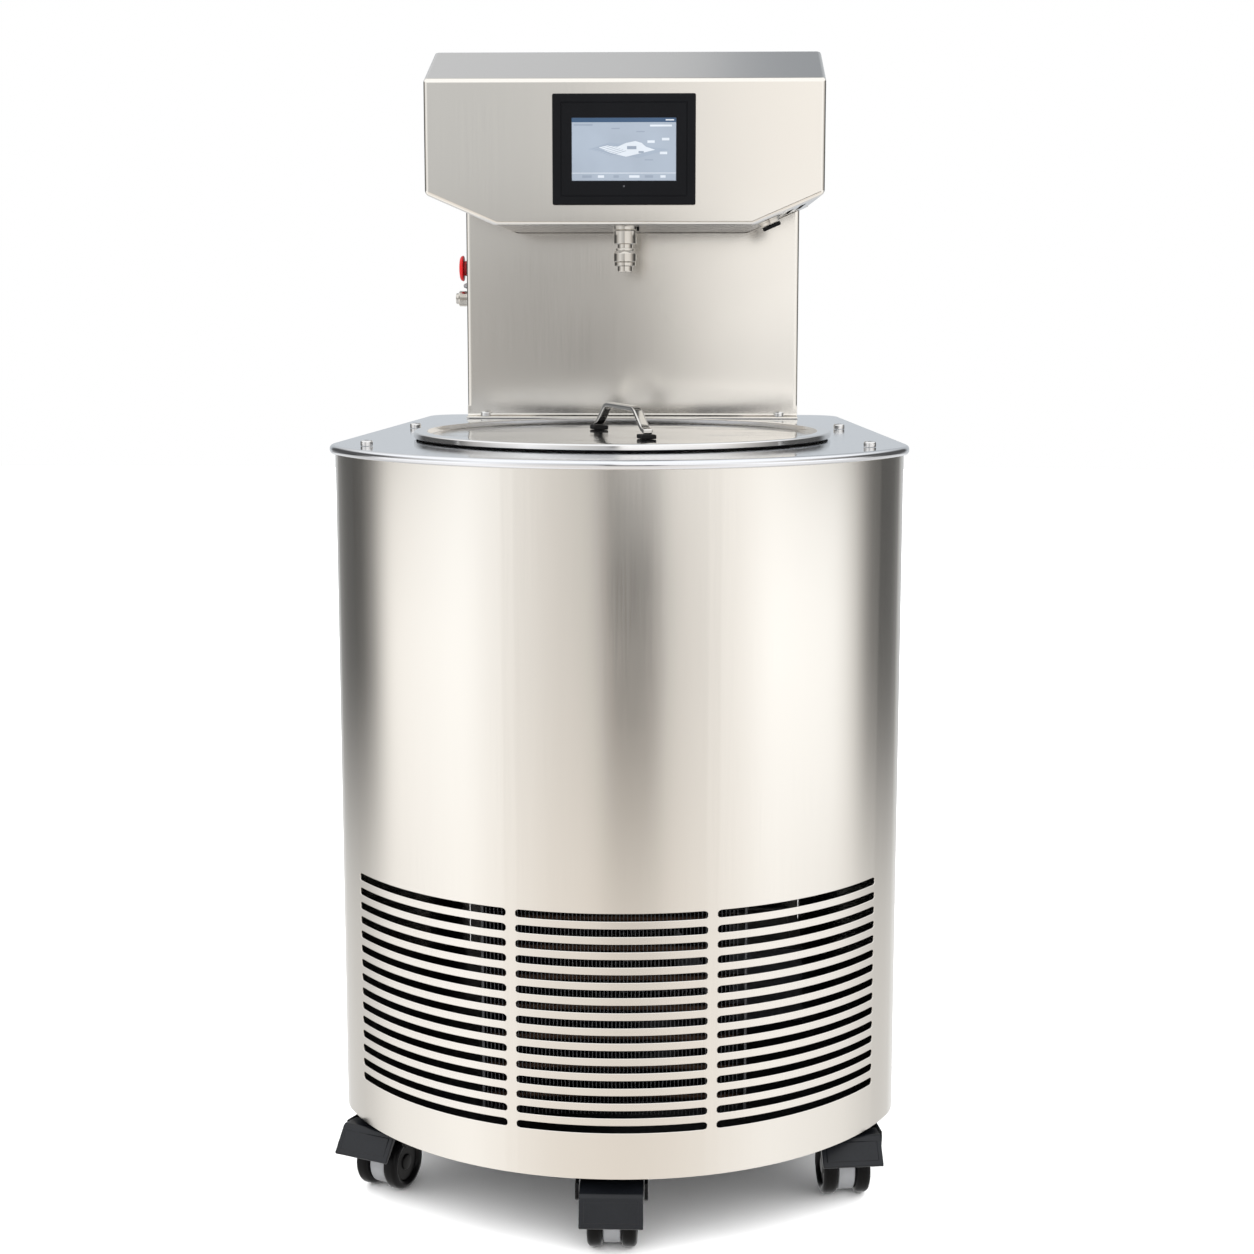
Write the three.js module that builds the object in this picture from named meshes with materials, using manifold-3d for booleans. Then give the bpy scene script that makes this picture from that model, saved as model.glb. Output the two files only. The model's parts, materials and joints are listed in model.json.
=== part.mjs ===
// Floor-standing sous vide bath with a head-mounted stirrer drive.
//
// A D-plan stainless cabinet on twin-wheel casters carries a polished deck with a lidded round
// vessel. A column at the rear holds an overhanging head with a touch panel, and a quick-release
// stirrer coupling hangs from the head over the vessel. Millimetres, +Z up, front towards -Y,
// origin on the floor under the middle of the deck.

import * as THREE from 'three';
import { mergeVertices } from 'three/addons/utils/BufferGeometryUtils.js';
import Module from 'manifold-3d';

const wasm = await Module();
wasm.setup();

// ---------------------------------------------------------------- driving dimensions

const SHEET = 2; // every folded panel
const GAP = 0.3; // air left between pieces that touch
const CUT = 10; // how far a cutting solid runs past what it cuts
const DEG = Math.PI / 180;

// Cabinet: an arc about the vessel axis in front, tapering sides, rounded rear corners
const AXIS_Y = -51;
const SKIN_RADIUS = 272;
const ARC_END = 69; // degrees either side of straight ahead
const REAR_HALF = 218;
const REAR_Y = 323;
const REAR_CORNER = 30;
const CABINET_BOTTOM = 70;
const DECK_TOP = 680;
const RIM_OVERHANG = 5;
const RIM_DEPTH = 8;
const REAR_PANEL_HALF = 186;

// Front grille: three panels of long slots
const MIDDLE_PANEL_END = 17.35;
const SIDE_PANEL_START = 19.1;
const SIDE_PANEL_END = 57.3;
const PANEL_FACETS = 4;
const SLOT_ROWS = 15;
const SLOT_HEIGHT = 6.5;
const SLOT_PITCH = 13.2;
const FIRST_SLOT_Z = 111;

// Vessel and lid
const ROUND_STEPS = 48;
const VESSEL_RADIUS = 172;
const VESSEL_BOTTOM = 300;
const FLANGE_RADIUS = 188.6;
const LID_RADIUS = 192.5;
const DISH_RADIUS = 178.6;
const LID_TOP = 687.2;
const DISH_TOP = 683;
const HANDLE_LENGTH = 154;
const HANDLE_RISE = 24;
const HANDLE_TURN = -70; // degrees from +X
const BAR_WIDTH = 9;
const BAR_THICK = 6;
const PAD_HEIGHT = 4;

// Column
const COLUMN_HALF = 176;
const COLUMN_FRONT = 261;
const COLUMN_REAR = 320;
const COLUMN_FOOT = 16;
const COLUMN_SCREW_X = 156;

// Head
const HEAD_HALF = 188;
const HEAD_FRONT = 6;
const HEAD_REAR = 322;
const HEAD_BOTTOM = 875;
const HEAD_TOP = 1044;
const CORNER_WIDE = 67;
const CORNER_HIGH = 29;
const BROW_Z = 1010;
const RIDGE_Y = 101;

// Touch panel
const PANEL_Z = 945;
const BEZEL_WIDE = 134;
const BEZEL_HIGH = 102;
const BEZEL_PROUD = 5;
const WINDOW_WIDE = 98;
const WINDOW_HIGH = 58;
const CASE_WIDE = 122;
const CASE_HIGH = 90;

// Stirrer drive
const SPINDLE_Y = 32;
const MOTOR_Y = 150;
const COUPLING_RADIUS = 10.8;
const TIP_RADIUS = 7.2;
const SLEEVE_BORE = 7.6;
const TIP_Z = 832;
const SLEEVE_BOTTOM = 837.5;
const SLEEVE_TOP = 854.7;
const SPINDLE_COLLAR_Z = 858;
const PULLEY_Z = 882.3;
const PULLEY_HIGH = 9.4;
const PULLEY_RADIUS = 16;

// Stop button and sockets
const BUTTON_Y = 290;
const BUTTON_Z = 838;
const PROBE_Z = 806;
const SERVICE_X = 137;
const SERVICE_Y = 45;

// Casters
const WHEEL_RADIUS = 25;
const WHEEL_OUTER = 21.5;
const WHEEL_INNER = 8.3;
const TRAIL = 16; // wheel axle ahead of the swivel axis
const PLATE_SIZE = 56;
const PEDAL_HINGE = [-27, 60];
const PEDAL_HALF = 27.5;
const PEDAL_TRAVEL = 20; // degrees

// ---------------------------------------------------------------- materials

const finish = (color, roughness, metalness) =>
  new THREE.MeshStandardMaterial({ color, roughness, metalness });

const brushedSteel = finish('#c9c6c0', 0.38, 1);
const polishedSteel = finish('#d6d6d8', 0.14, 1);
const nickel = finish('#bdbab4', 0.22, 1);
const darkMetal = finish('#4a4b4e', 0.5, 0.9);
const blackPlastic = finish('#1d1d1f', 0.55, 0);
const greyPlastic = finish('#77787a', 0.5, 0);
const blackRubber = finish('#161617', 0.8, 0);
const redPlastic = finish('#b3181c', 0.3, 0);
const screenGlass = finish('#b9c4d2', 0.1, 0);
const foil = finish('#a8a9a6', 0.6, 0.4);

// ---------------------------------------------------------------- solids

// A closed three.js geometry as a solid that can be joined and cut
function solid(geometry) {
  const bare = geometry.clone();
  bare.deleteAttribute('normal');
  bare.deleteAttribute('uv');
  const merged = mergeVertices(bare, 1e-3);
  const corners = Array.from(merged.index.array);
  const triangles = [];
  for (let i = 0; i < corners.length; i += 3) {
    const [a, b, c] = corners.slice(i, i + 3);
    if (a !== b && b !== c && c !== a) triangles.push(a, b, c);
  }
  const vertProperties = new Float32Array(merged.attributes.position.array);
  const triVerts = new Uint32Array(triangles);
  return new wasm.Manifold(new wasm.Mesh({ numProp: 3, vertProperties, triVerts }));
}

// A joined or cut solid back as a geometry
function geometryOf(manifold) {
  const mesh = manifold.getMesh();
  const geometry = new THREE.BufferGeometry();
  geometry.setAttribute('position', new THREE.BufferAttribute(mesh.vertProperties, 3));
  geometry.setIndex(new THREE.BufferAttribute(mesh.triVerts, 1));
  return geometry;
}

// A block between two opposite corners
function block(low, high) {
  const size = high.map((value, i) => value - low[i]);
  const middle = high.map((value, i) => (value + low[i]) / 2);
  return new THREE.BoxGeometry(...size).translate(...middle);
}

// An outline in X and Y raised between two heights
function prism(points, bottom, top) {
  const shape = new THREE.Shape(points.map(([x, y]) => new THREE.Vector2(x, y)));
  const geometry = new THREE.ExtrudeGeometry(shape, { depth: top - bottom, bevelEnabled: false });
  return geometry.translate(0, 0, bottom);
}

// An outline in X and Z swept between two places along Y
function prismAlongY(points, front, rear) {
  return prism(points.map(([x, z]) => [x, -z]), front, rear).rotateX(-Math.PI / 2);
}

// An outline in Y and Z swept between two places along X
function prismAlongX(points, left, right) {
  return prism(points, left, right).rotateY(Math.PI / 2).rotateX(Math.PI / 2);
}

// A profile of [radius, height] points, anticlockwise, turned about the Z axis
function turned(profile, steps) {
  const points = profile.map(([radius, height]) => new THREE.Vector2(radius, height));
  return new THREE.LatheGeometry(points, steps).rotateX(Math.PI / 2);
}

// A closed ring of rectangular section about the Z axis
function ring(inner, outer, bottom, top, steps) {
  const profile = [[inner, bottom], [outer, bottom], [outer, top], [inner, top], [inner, bottom]];
  return turned(profile, steps);
}

// A plain disc or rod about the Z axis
function rod(radius, bottom, top, steps) {
  return turned([[0, bottom], [radius, bottom], [radius, top], [0, top]], steps);
}

function piece(name, geometry, material) {
  const mesh = new THREE.Mesh(geometry, material);
  mesh.name = name;
  return mesh;
}

function placed(mesh, x, y, z) {
  mesh.position.set(x, y, z);
  return mesh;
}

// ---------------------------------------------------------------- cabinet

// Angles of the front arc's facets, with a facet edge at each end of each grille panel
function frontAngles() {
  const half = [0];
  for (let i = 1; i <= PANEL_FACETS / 2; i += 1) {
    half.push((MIDDLE_PANEL_END * i) / (PANEL_FACETS / 2));
  }
  const sidePanel = SIDE_PANEL_END - SIDE_PANEL_START;
  for (let i = 0; i <= PANEL_FACETS; i += 1) {
    half.push(SIDE_PANEL_START + (sidePanel * i) / PANEL_FACETS);
  }
  half.push((SIDE_PANEL_END + ARC_END) / 2, ARC_END);
  const left = half.slice(1).reverse().map((angle) => -angle);
  return [...left, ...half];
}

function onFront(radius, angle) {
  return [radius * Math.sin(angle * DEG), AXIS_Y - radius * Math.cos(angle * DEG)];
}

// The cabinet's plan outline, grown outwards by an offset
function planOutline(offset) {
  const points = frontAngles().map((angle) => onFront(SKIN_RADIUS + offset, angle));
  const centre = [REAR_HALF - REAR_CORNER, REAR_Y - REAR_CORNER];
  const corner = [0, 30, 60, 90].map((angle) => [
    centre[0] + (REAR_CORNER + offset) * Math.cos(angle * DEG),
    centre[1] + (REAR_CORNER + offset) * Math.sin(angle * DEG),
  ]);
  const mirrored = corner.slice().reverse().map(([x, y]) => [-x, y]);
  return [...points, ...corner, ...mirrored];
}

// One grille slot, as a sector between two angles
function slotCutter(from, to, bottom) {
  const inner = SKIN_RADIUS - 3 * CUT;
  const outer = SKIN_RADIUS + 3 * CUT;
  const middle = (from + to) / 2;
  const outline = [
    onFront(inner, to), onFront(inner, from), onFront(outer, from), onFront(outer, middle),
    onFront(outer, to),
  ];
  return solid(prism(outline, bottom, bottom + SLOT_HEIGHT));
}

function cabinetWrap() {
  const top = DECK_TOP - SHEET - GAP;
  let wrap = solid(prism(planOutline(0), CABINET_BOTTOM, top));
  const hollow = solid(prism(planOutline(-SHEET), CABINET_BOTTOM - CUT, top + CUT));
  wrap = wrap.subtract(hollow);
  const doorway = block(
    [-REAR_PANEL_HALF - GAP, REAR_Y - 2 * CUT, CABINET_BOTTOM - CUT],
    [REAR_PANEL_HALF + GAP, REAR_Y + CUT, top + CUT],
  );
  wrap = wrap.subtract(solid(doorway));
  const panels = [
    [-SIDE_PANEL_END, -SIDE_PANEL_START],
    [-MIDDLE_PANEL_END, MIDDLE_PANEL_END],
    [SIDE_PANEL_START, SIDE_PANEL_END],
  ];
  for (const [from, to] of panels) {
    for (let row = 0; row < SLOT_ROWS; row += 1) {
      wrap = wrap.subtract(slotCutter(from, to, FIRST_SLOT_Z + row * SLOT_PITCH));
    }
  }
  return piece('cabinet_wrap', geometryOf(wrap), brushedSteel);
}

function basePlate() {
  const outline = planOutline(-SHEET - 2 * GAP);
  return piece('base_plate', prism(outline, CABINET_BOTTOM, CABINET_BOTTOM + 3), darkMetal);
}

// Deck: a plate with a deep rolled rim outside the cabinet and a hole for the vessel
function deckPlate() {
  const underside = DECK_TOP - SHEET;
  const plate = solid(prism(planOutline(RIM_OVERHANG), DECK_TOP - RIM_DEPTH, DECK_TOP));
  const inside = solid(prism(planOutline(0.5), DECK_TOP - RIM_DEPTH - CUT, underside));
  const mouth = rod(FLANGE_RADIUS + 0.4, underside - CUT, DECK_TOP + CUT, ROUND_STEPS);
  mouth.translate(0, AXIS_Y, 0);
  return piece('deck_plate', geometryOf(plate.subtract(inside).subtract(solid(mouth))), polishedSteel);
}

// Rear panel: lift-out sheet with air slots and the cut-out of the mains inlet
function rearPanel() {
  const bottom = CABINET_BOTTOM + SHEET;
  const top = DECK_TOP - RIM_DEPTH - 1;
  let panel = solid(block([-REAR_PANEL_HALF, REAR_Y - SHEET, bottom], [REAR_PANEL_HALF, REAR_Y, top]));
  for (let row = 0; row < 6; row += 1) {
    const z = 200 + row * 20;
    panel = panel.subtract(solid(block([-70, REAR_Y - CUT, z], [70, REAR_Y + CUT, z + 8])));
  }
  const inletHole = block([-146, REAR_Y - CUT, 102], [-104, REAR_Y + CUT, 128]);
  return piece('rear_panel', geometryOf(panel.subtract(solid(inletHole))), brushedSteel);
}

// Mains inlet: flanged body with a recess for the plug
function mainsInlet() {
  const body = solid(block([-145, REAR_Y - 25, 103], [-105, REAR_Y + GAP + 1, 127]));
  const flange = solid(block([-152, REAR_Y + GAP, 98], [-98, REAR_Y + 2.5, 132]));
  const recess = solid(block([-137, REAR_Y - 15, 107], [-113, REAR_Y + CUT, 123]));
  return piece('mains_inlet', geometryOf(body.add(flange).subtract(recess)), blackPlastic);
}

// Button-head screw standing on a surface
function buttonScrew(name, x, y, seat) {
  const profile = [[0, GAP], [5.6, GAP], [5.6, 4.2], [4.6, 5.2], [0, 5.2]];
  return placed(piece(name, turned(profile, 12), polishedSteel), x, y, seat);
}

// ---------------------------------------------------------------- vessel and lid

function vessel() {
  const outer = VESSEL_RADIUS + SHEET;
  const underside = DECK_TOP - SHEET;
  const profile = [
    [0, VESSEL_BOTTOM], [outer, VESSEL_BOTTOM], [outer, underside], [FLANGE_RADIUS, underside],
    [FLANGE_RADIUS, DECK_TOP], [VESSEL_RADIUS, DECK_TOP],
    [VESSEL_RADIUS, VESSEL_BOTTOM + SHEET], [0, VESSEL_BOTTOM + SHEET],
  ];
  return placed(piece('vessel', turned(profile, ROUND_STEPS), brushedSteel), 0, AXIS_Y, 0);
}

function lidPan() {
  const rimUnderside = DISH_TOP - 0.1;
  const plugBottom = DISH_TOP - SHEET + 0.3;
  const profile = [
    [0, plugBottom], [DISH_RADIUS, plugBottom], [DISH_RADIUS, rimUnderside],
    [LID_RADIUS, rimUnderside], [LID_RADIUS, LID_TOP - 1.5], [LID_RADIUS - 1.5, LID_TOP],
    [DISH_RADIUS + 1.5, LID_TOP], [DISH_RADIUS - 1.5, DISH_TOP], [0, DISH_TOP],
  ];
  return placed(piece('lid_pan', turned(profile, ROUND_STEPS), polishedSteel), 0, AXIS_Y, 0);
}

function lidGasket() {
  const geometry = ring(DISH_RADIUS + 0.9, 190, DECK_TOP + GAP, DISH_TOP - 0.4, ROUND_STEPS);
  return placed(piece('lid_gasket', geometry, blackRubber), 0, AXIS_Y, 0);
}

// Lid handle: one flat bar folded to a low trapezoid, on two dark pads
function lidHandle() {
  const foot = HANDLE_LENGTH / 2;
  const knee = foot - 33;
  const outline = [
    [-foot, 0], [-foot + 12, 0], [-knee + 5, HANDLE_RISE - BAR_THICK],
    [knee - 5, HANDLE_RISE - BAR_THICK], [foot - 12, 0], [foot, 0], [knee, HANDLE_RISE],
    [-knee, HANDLE_RISE],
  ];
  const bar = prismAlongY(outline, -BAR_WIDTH / 2, BAR_WIDTH / 2);
  const seat = PAD_HEIGHT + 2 * GAP;
  const group = new THREE.Group();
  group.add(placed(piece('lid_handle', bar, nickel), 0, 0, seat));
  [-1, 1].forEach((side, i) => {
    const pad = new THREE.BoxGeometry(16, 14, PAD_HEIGHT);
    const mesh = piece(`handle_pad_${i + 1}`, pad, blackRubber);
    group.add(placed(mesh, side * (foot - 6), 0, PAD_HEIGHT / 2 + GAP));
  });
  group.position.set(0, AXIS_Y, DISH_TOP);
  group.rotation.z = HANDLE_TURN * DEG;
  return group;
}

// ---------------------------------------------------------------- what the cabinet holds

function heaterBand() {
  const geometry = ring(174.5, 178, 330, 420, ROUND_STEPS);
  return placed(piece('heater_band', geometry, darkMetal), 0, AXIS_Y, 0);
}

function insulation() {
  const geometry = ring(178.8, 202, 312, 662, ROUND_STEPS);
  return placed(piece('insulation', geometry, foil), 0, AXIS_Y, 0);
}

function compressor() {
  const profile = [
    [0, 78], [58, 78], [66, 92], [68, 150], [62, 196], [40, 218], [0, 226],
  ];
  return placed(piece('compressor', turned(profile, 20), blackPlastic), -70, 130, 0);
}

function condenser() {
  return piece('condenser', block([-115, -256, 100], [115, -222, 290]), darkMetal);
}

function fanShroud() {
  const plate = solid(block([-100, -216, 98], [100, -184, 292]));
  const throat = rod(84, -40, 40, 24).rotateX(Math.PI / 2).translate(0, -200, 195);
  return piece('fan_shroud', geometryOf(plate.subtract(solid(throat))), blackPlastic);
}

function fanRotor() {
  let rotor = solid(rod(24, -12, 12, 16));
  for (let i = 0; i < 5; i += 1) {
    const blade = new THREE.BoxGeometry(56, 30, 2.4).rotateX(32 * DEG).translate(50, 0, 0);
    blade.rotateZ((i * 2 * Math.PI) / 5);
    rotor = rotor.add(solid(blade));
  }
  const geometry = geometryOf(rotor).rotateX(Math.PI / 2);
  return placed(piece('fan_rotor', geometry, greyPlastic), 0, -200, 195);
}

function powerSupply() {
  return piece('power_supply', block([50, 80, 73 + GAP], [180, 230, 150]), foil);
}

// ---------------------------------------------------------------- column

// The space of the head: the column's top edges follow its flat bottom and slanted corners
function headRoom() {
  return solid(prismAlongY(headOutline(-GAP), COLUMN_FRONT - CUT, COLUMN_REAR + CUT));
}

function columnShell() {
  const top = HEAD_BOTTOM + CORNER_HIGH - 5;
  const bottom = DECK_TOP + GAP;
  const low = [-COLUMN_HALF, COLUMN_FRONT, bottom];
  const outside = solid(block(low, [COLUMN_HALF, COLUMN_REAR, top]));
  const inside = solid(block(
    [-COLUMN_HALF + SHEET, COLUMN_FRONT + SHEET, bottom - CUT],
    [COLUMN_HALF - SHEET, COLUMN_REAR + CUT, top + CUT],
  ));
  const foot = solid(block(
    [-COLUMN_HALF, COLUMN_FRONT - COLUMN_FOOT, bottom],
    [COLUMN_HALF, COLUMN_FRONT + 1, bottom + SHEET],
  ));
  const buttonHole = rod(8.9, -CUT, CUT, 16).rotateY(Math.PI / 2);
  buttonHole.translate(-COLUMN_HALF, BUTTON_Y, BUTTON_Z);
  const shell = outside.subtract(inside).add(foot).subtract(solid(buttonHole));
  return piece('column_shell', geometryOf(shell.subtract(headRoom())), brushedSteel);
}

function columnRearCover() {
  const low = [-COLUMN_HALF, COLUMN_REAR + GAP, DECK_TOP + SHEET];
  const high = [COLUMN_HALF, COLUMN_REAR + GAP + SHEET, HEAD_BOTTOM + CORNER_HIGH - 5];
  const cover = solid(block(low, high)).subtract(headRoom());
  return piece('column_rear_cover', geometryOf(cover), brushedSteel);
}

// Mushroom stop button, its shaft sliding through a collar in the column's left side
function stopButton() {
  const profile = [
    [0, -12], [8, -12], [8, 5], [13.2, 5], [13.6, 6.2], [13, 8.4], [10, 9.6], [0, 10],
  ];
  const button = piece('estop_button', turned(profile, 16).rotateY(-Math.PI / 2), redPlastic);
  return placed(button, -COLUMN_HALF, BUTTON_Y, BUTTON_Z);
}

function stopCollar() {
  const geometry = ring(8.6, 12, GAP, 1.9, 16).rotateY(-Math.PI / 2);
  return placed(piece('estop_collar', geometry, blackPlastic), -COLUMN_HALF, BUTTON_Y, BUTTON_Z);
}

function probeSocket() {
  const profile = [
    [0, GAP], [8.4, GAP], [8.4, 9.6], [7.2, 11], [5.8, 11], [5.8, 14], [0, 14],
  ];
  const geometry = turned(profile, 12).rotateY(-Math.PI / 2);
  return placed(piece('probe_socket', geometry, nickel), -COLUMN_HALF, BUTTON_Y, PROBE_Z);
}

// ---------------------------------------------------------------- head

// The head seen from the front, shrunk inwards by an inset
function headOutline(inset) {
  const half = HEAD_HALF - inset;
  const flat = HEAD_HALF - CORNER_WIDE - inset * 0.2;
  const shoulder = HEAD_BOTTOM + CORNER_HIGH + inset * 0.6;
  return [
    [-flat, HEAD_BOTTOM + inset], [flat, HEAD_BOTTOM + inset], [half, shoulder],
    [half, HEAD_TOP - inset], [-half, HEAD_TOP - inset], [-half, shoulder],
  ];
}

// What the sloping brow takes off the top front edge
function browCutter(inset) {
  const slope = (HEAD_TOP - BROW_Z) / (RIDGE_Y - HEAD_FRONT);
  const start = HEAD_FRONT - 5 * CUT;
  const end = RIDGE_Y + 5 * CUT;
  const along = (y) => BROW_Z + slope * (y - HEAD_FRONT) - inset;
  const outline = [
    [start, along(start)], [end, along(end)], [end, along(end) + 10 * CUT],
    [start, along(end) + 10 * CUT],
  ];
  return solid(prismAlongX(outline, -HEAD_HALF - CUT, HEAD_HALF + CUT));
}

// Air slots in one slanted lower corner
function cornerSlots(side) {
  const slots = [];
  for (let i = 0; i < 3; i += 1) {
    const x = side * (147 + i * 12);
    slots.push(block([x - 3, 70, HEAD_BOTTOM - CUT], [x + 3, 210, HEAD_BOTTOM + CORNER_HIGH + 3]));
  }
  return slots.map(solid);
}

function headShell() {
  const outside = solid(prismAlongY(headOutline(0), HEAD_FRONT, HEAD_REAR)).subtract(browCutter(0));
  const hollow = solid(prismAlongY(headOutline(SHEET), HEAD_FRONT + SHEET, HEAD_REAR + CUT));
  let shell = outside.subtract(hollow.subtract(browCutter(SHEET + 0.1)));
  const cuts = [
    block(
      [-CASE_WIDE / 2 - 1, HEAD_FRONT - CUT, PANEL_Z - CASE_HIGH / 2 - 1],
      [CASE_WIDE / 2 + 1, HEAD_FRONT + CUT, PANEL_Z + CASE_HIGH / 2 + 1],
    ),
    rod(11.6, HEAD_BOTTOM - CUT, HEAD_BOTTOM + CUT, 24).translate(0, SPINDLE_Y, 0),
    block([-150, 270, HEAD_BOTTOM - CUT], [150, 310, HEAD_BOTTOM + CUT]),
  ];
  for (const cut of cuts) shell = shell.subtract(solid(cut));
  for (const slot of [...cornerSlots(-1), ...cornerSlots(1)]) shell = shell.subtract(slot);
  return piece('head_shell', geometryOf(shell), brushedSteel);
}

function headRearCover() {
  const geometry = prismAlongY(headOutline(0), HEAD_REAR + GAP, HEAD_REAR + GAP + SHEET);
  return piece('head_rear_cover', geometry, brushedSteel);
}

// Touch panel: bezel with a window, the glass in it, and the electronics case behind
function touchPanel() {
  const rear = HEAD_FRONT - GAP;
  const front = HEAD_FRONT - BEZEL_PROUD;
  const plate = solid(block(
    [-BEZEL_WIDE / 2, front, PANEL_Z - BEZEL_HIGH / 2],
    [BEZEL_WIDE / 2, rear, PANEL_Z + BEZEL_HIGH / 2],
  ));
  const window = solid(block(
    [-WINDOW_WIDE / 2, front - CUT, PANEL_Z - WINDOW_HIGH / 2],
    [WINDOW_WIDE / 2, rear + CUT, PANEL_Z + WINDOW_HIGH / 2],
  ));
  const glass = block(
    [-WINDOW_WIDE / 2 + GAP, front + 0.6, PANEL_Z - WINDOW_HIGH / 2 + GAP],
    [WINDOW_WIDE / 2 - GAP, rear - GAP, PANEL_Z + WINDOW_HIGH / 2 - GAP],
  );
  const casing = block(
    [-CASE_WIDE / 2, HEAD_FRONT, PANEL_Z - CASE_HIGH / 2],
    [CASE_WIDE / 2, HEAD_FRONT + 42, PANEL_Z + CASE_HIGH / 2],
  );
  return [
    piece('hmi_bezel', geometryOf(plate.subtract(window)), blackPlastic),
    piece('hmi_screen', glass, screenGlass),
    piece('hmi_case', casing, greyPlastic),
  ];
}

// Service socket on the right slanted corner, with its screw cap
function serviceSocket() {
  const lean = Math.atan2(CORNER_HIGH, CORNER_WIDE);
  const seat = HEAD_BOTTOM + (SERVICE_X - (HEAD_HALF - CORNER_WIDE)) * Math.tan(lean);
  const socket = piece('service_socket', ring(7, 10, GAP, 5, 16), nickel);
  const cap = piece('service_cap', rod(9.2, 5 + GAP, 9, 16), blackPlastic);
  const group = new THREE.Group();
  group.add(socket, cap);
  group.position.set(SERVICE_X, SERVICE_Y, seat);
  group.rotation.y = Math.PI - lean;
  return group;
}

// ---------------------------------------------------------------- stirrer drive

function driveMotor() {
  const profile = [
    [0, 894], [24, 894], [24, 897], [32, 899], [32, 972], [26, 978], [0, 978],
  ];
  return placed(piece('drive_motor', turned(profile, 24), darkMetal), 0, MOTOR_Y, 0);
}

// Toothed-belt pulley with a flange above and below the belt
function pulleyProfile(bore) {
  const rimless = PULLEY_RADIUS;
  const flange = PULLEY_RADIUS + 2.2;
  const top = PULLEY_Z + PULLEY_HIGH;
  return [
    [bore, PULLEY_Z], [flange, PULLEY_Z], [flange, PULLEY_Z + 1.4], [rimless, PULLEY_Z + 1.4],
    [rimless, top - 1.4], [flange, top - 1.4], [flange, top], [bore, top], [bore, PULLEY_Z],
  ];
}

function motorPulley() {
  const wheel = solid(turned(pulleyProfile(3), 24));
  const shaft = solid(rod(4, PULLEY_Z - 1, 893.7, 24));
  return placed(piece('motor_pulley', geometryOf(wheel.add(shaft)), nickel), 0, MOTOR_Y, 0);
}

function spindlePulley() {
  return placed(piece('spindle_pulley', turned(pulleyProfile(5.3), 24), nickel), 0, SPINDLE_Y, 0);
}

// Belt: one loop round both pulleys
function driveBelt() {
  const loop = (radius) => {
    const points = [];
    for (let i = 0; i <= 12; i += 1) {
      const angle = Math.PI + (i * Math.PI) / 12;
      points.push([radius * Math.cos(angle), SPINDLE_Y + radius * Math.sin(angle)]);
    }
    for (let i = 0; i <= 12; i += 1) {
      const angle = (i * Math.PI) / 12;
      points.push([radius * Math.cos(angle), MOTOR_Y + radius * Math.sin(angle)]);
    }
    return points;
  };
  const outside = solid(prism(loop(PULLEY_RADIUS + 1.9), 884.2, 889.8));
  const inside = solid(prism(loop(PULLEY_RADIUS + 0.5), 870, 900));
  return piece('drive_belt', geometryOf(outside.subtract(inside)), blackRubber);
}

function spindleHousing() {
  const profile = [
    [7.7, 871.6], [11, 871.6], [11, 877 + GAP], [20, 877 + GAP], [20, 881.8],
    [7.7, 881.8], [7.7, 871.6],
  ];
  return placed(piece('spindle_housing', turned(profile, 24), nickel), 0, SPINDLE_Y, 0);
}

// Spindle: drive tip, neck, fixed upper collar and the journal up to the pulley
function spindle() {
  const profile = [
    [0, TIP_Z], [TIP_RADIUS, TIP_Z], [TIP_RADIUS, SPINDLE_COLLAR_Z],
    [COUPLING_RADIUS, SPINDLE_COLLAR_Z],
    [COUPLING_RADIUS, 871.2], [7.2, 871.2], [7.2, 882], [4.9, 882], [4.9, 893.6], [0, 893.6],
  ];
  return placed(piece('spindle', turned(profile, 20), nickel), 0, SPINDLE_Y, 0);
}

// Spring-loaded sleeve that locks the stirrer shaft
function couplingSleeve() {
  const step = COUPLING_RADIUS - 0.6;
  const profile = [
    [SLEEVE_BORE, SLEEVE_BOTTOM], [step, SLEEVE_BOTTOM], [step, 841.5], [COUPLING_RADIUS, 841.5],
    [COUPLING_RADIUS, 850], [8.8, SLEEVE_TOP], [SLEEVE_BORE, SLEEVE_TOP],
    [SLEEVE_BORE, SLEEVE_BOTTOM],
  ];
  return placed(piece('coupling_sleeve', turned(profile, 20), nickel), 0, SPINDLE_Y, 0);
}

// ---------------------------------------------------------------- casters

// Twin wheels on one axle, turned about X
function wheelPair(name) {
  const tread = WHEEL_RADIUS;
  const profile = [
    [0, -WHEEL_OUTER], [19, -WHEEL_OUTER], [tread, -16.5], [tread, -12], [23, -WHEEL_INNER],
    [4, -WHEEL_INNER], [4, WHEEL_INNER], [23, WHEEL_INNER], [tread, 12], [tread, 16.5],
    [19, WHEEL_OUTER], [0, WHEEL_OUTER],
  ];
  const geometry = turned(profile, 16).rotateY(Math.PI / 2);
  return placed(piece(name, geometry, blackPlastic), 0, -TRAIL, WHEEL_RADIUS);
}

// Swivel body: turntable disc above, web between the wheels below
function swivelBody(name, top) {
  const disc = solid(rod(22, 60, top, 20));
  const half = WHEEL_INNER - 0.6;
  const web = solid(block([-half, -TRAIL - 5, 30], [half, 18, 61]));
  const hub = rod(21, -half, half, 16).rotateY(Math.PI / 2).translate(0, -TRAIL, WHEEL_RADIUS);
  const bore = rod(4.5, -CUT, CUT, 16).rotateY(Math.PI / 2).translate(0, -TRAIL, WHEEL_RADIUS);
  const body = disc.add(web).add(solid(hub)).subtract(solid(bore));
  return piece(name, geometryOf(body), greyPlastic);
}

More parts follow.
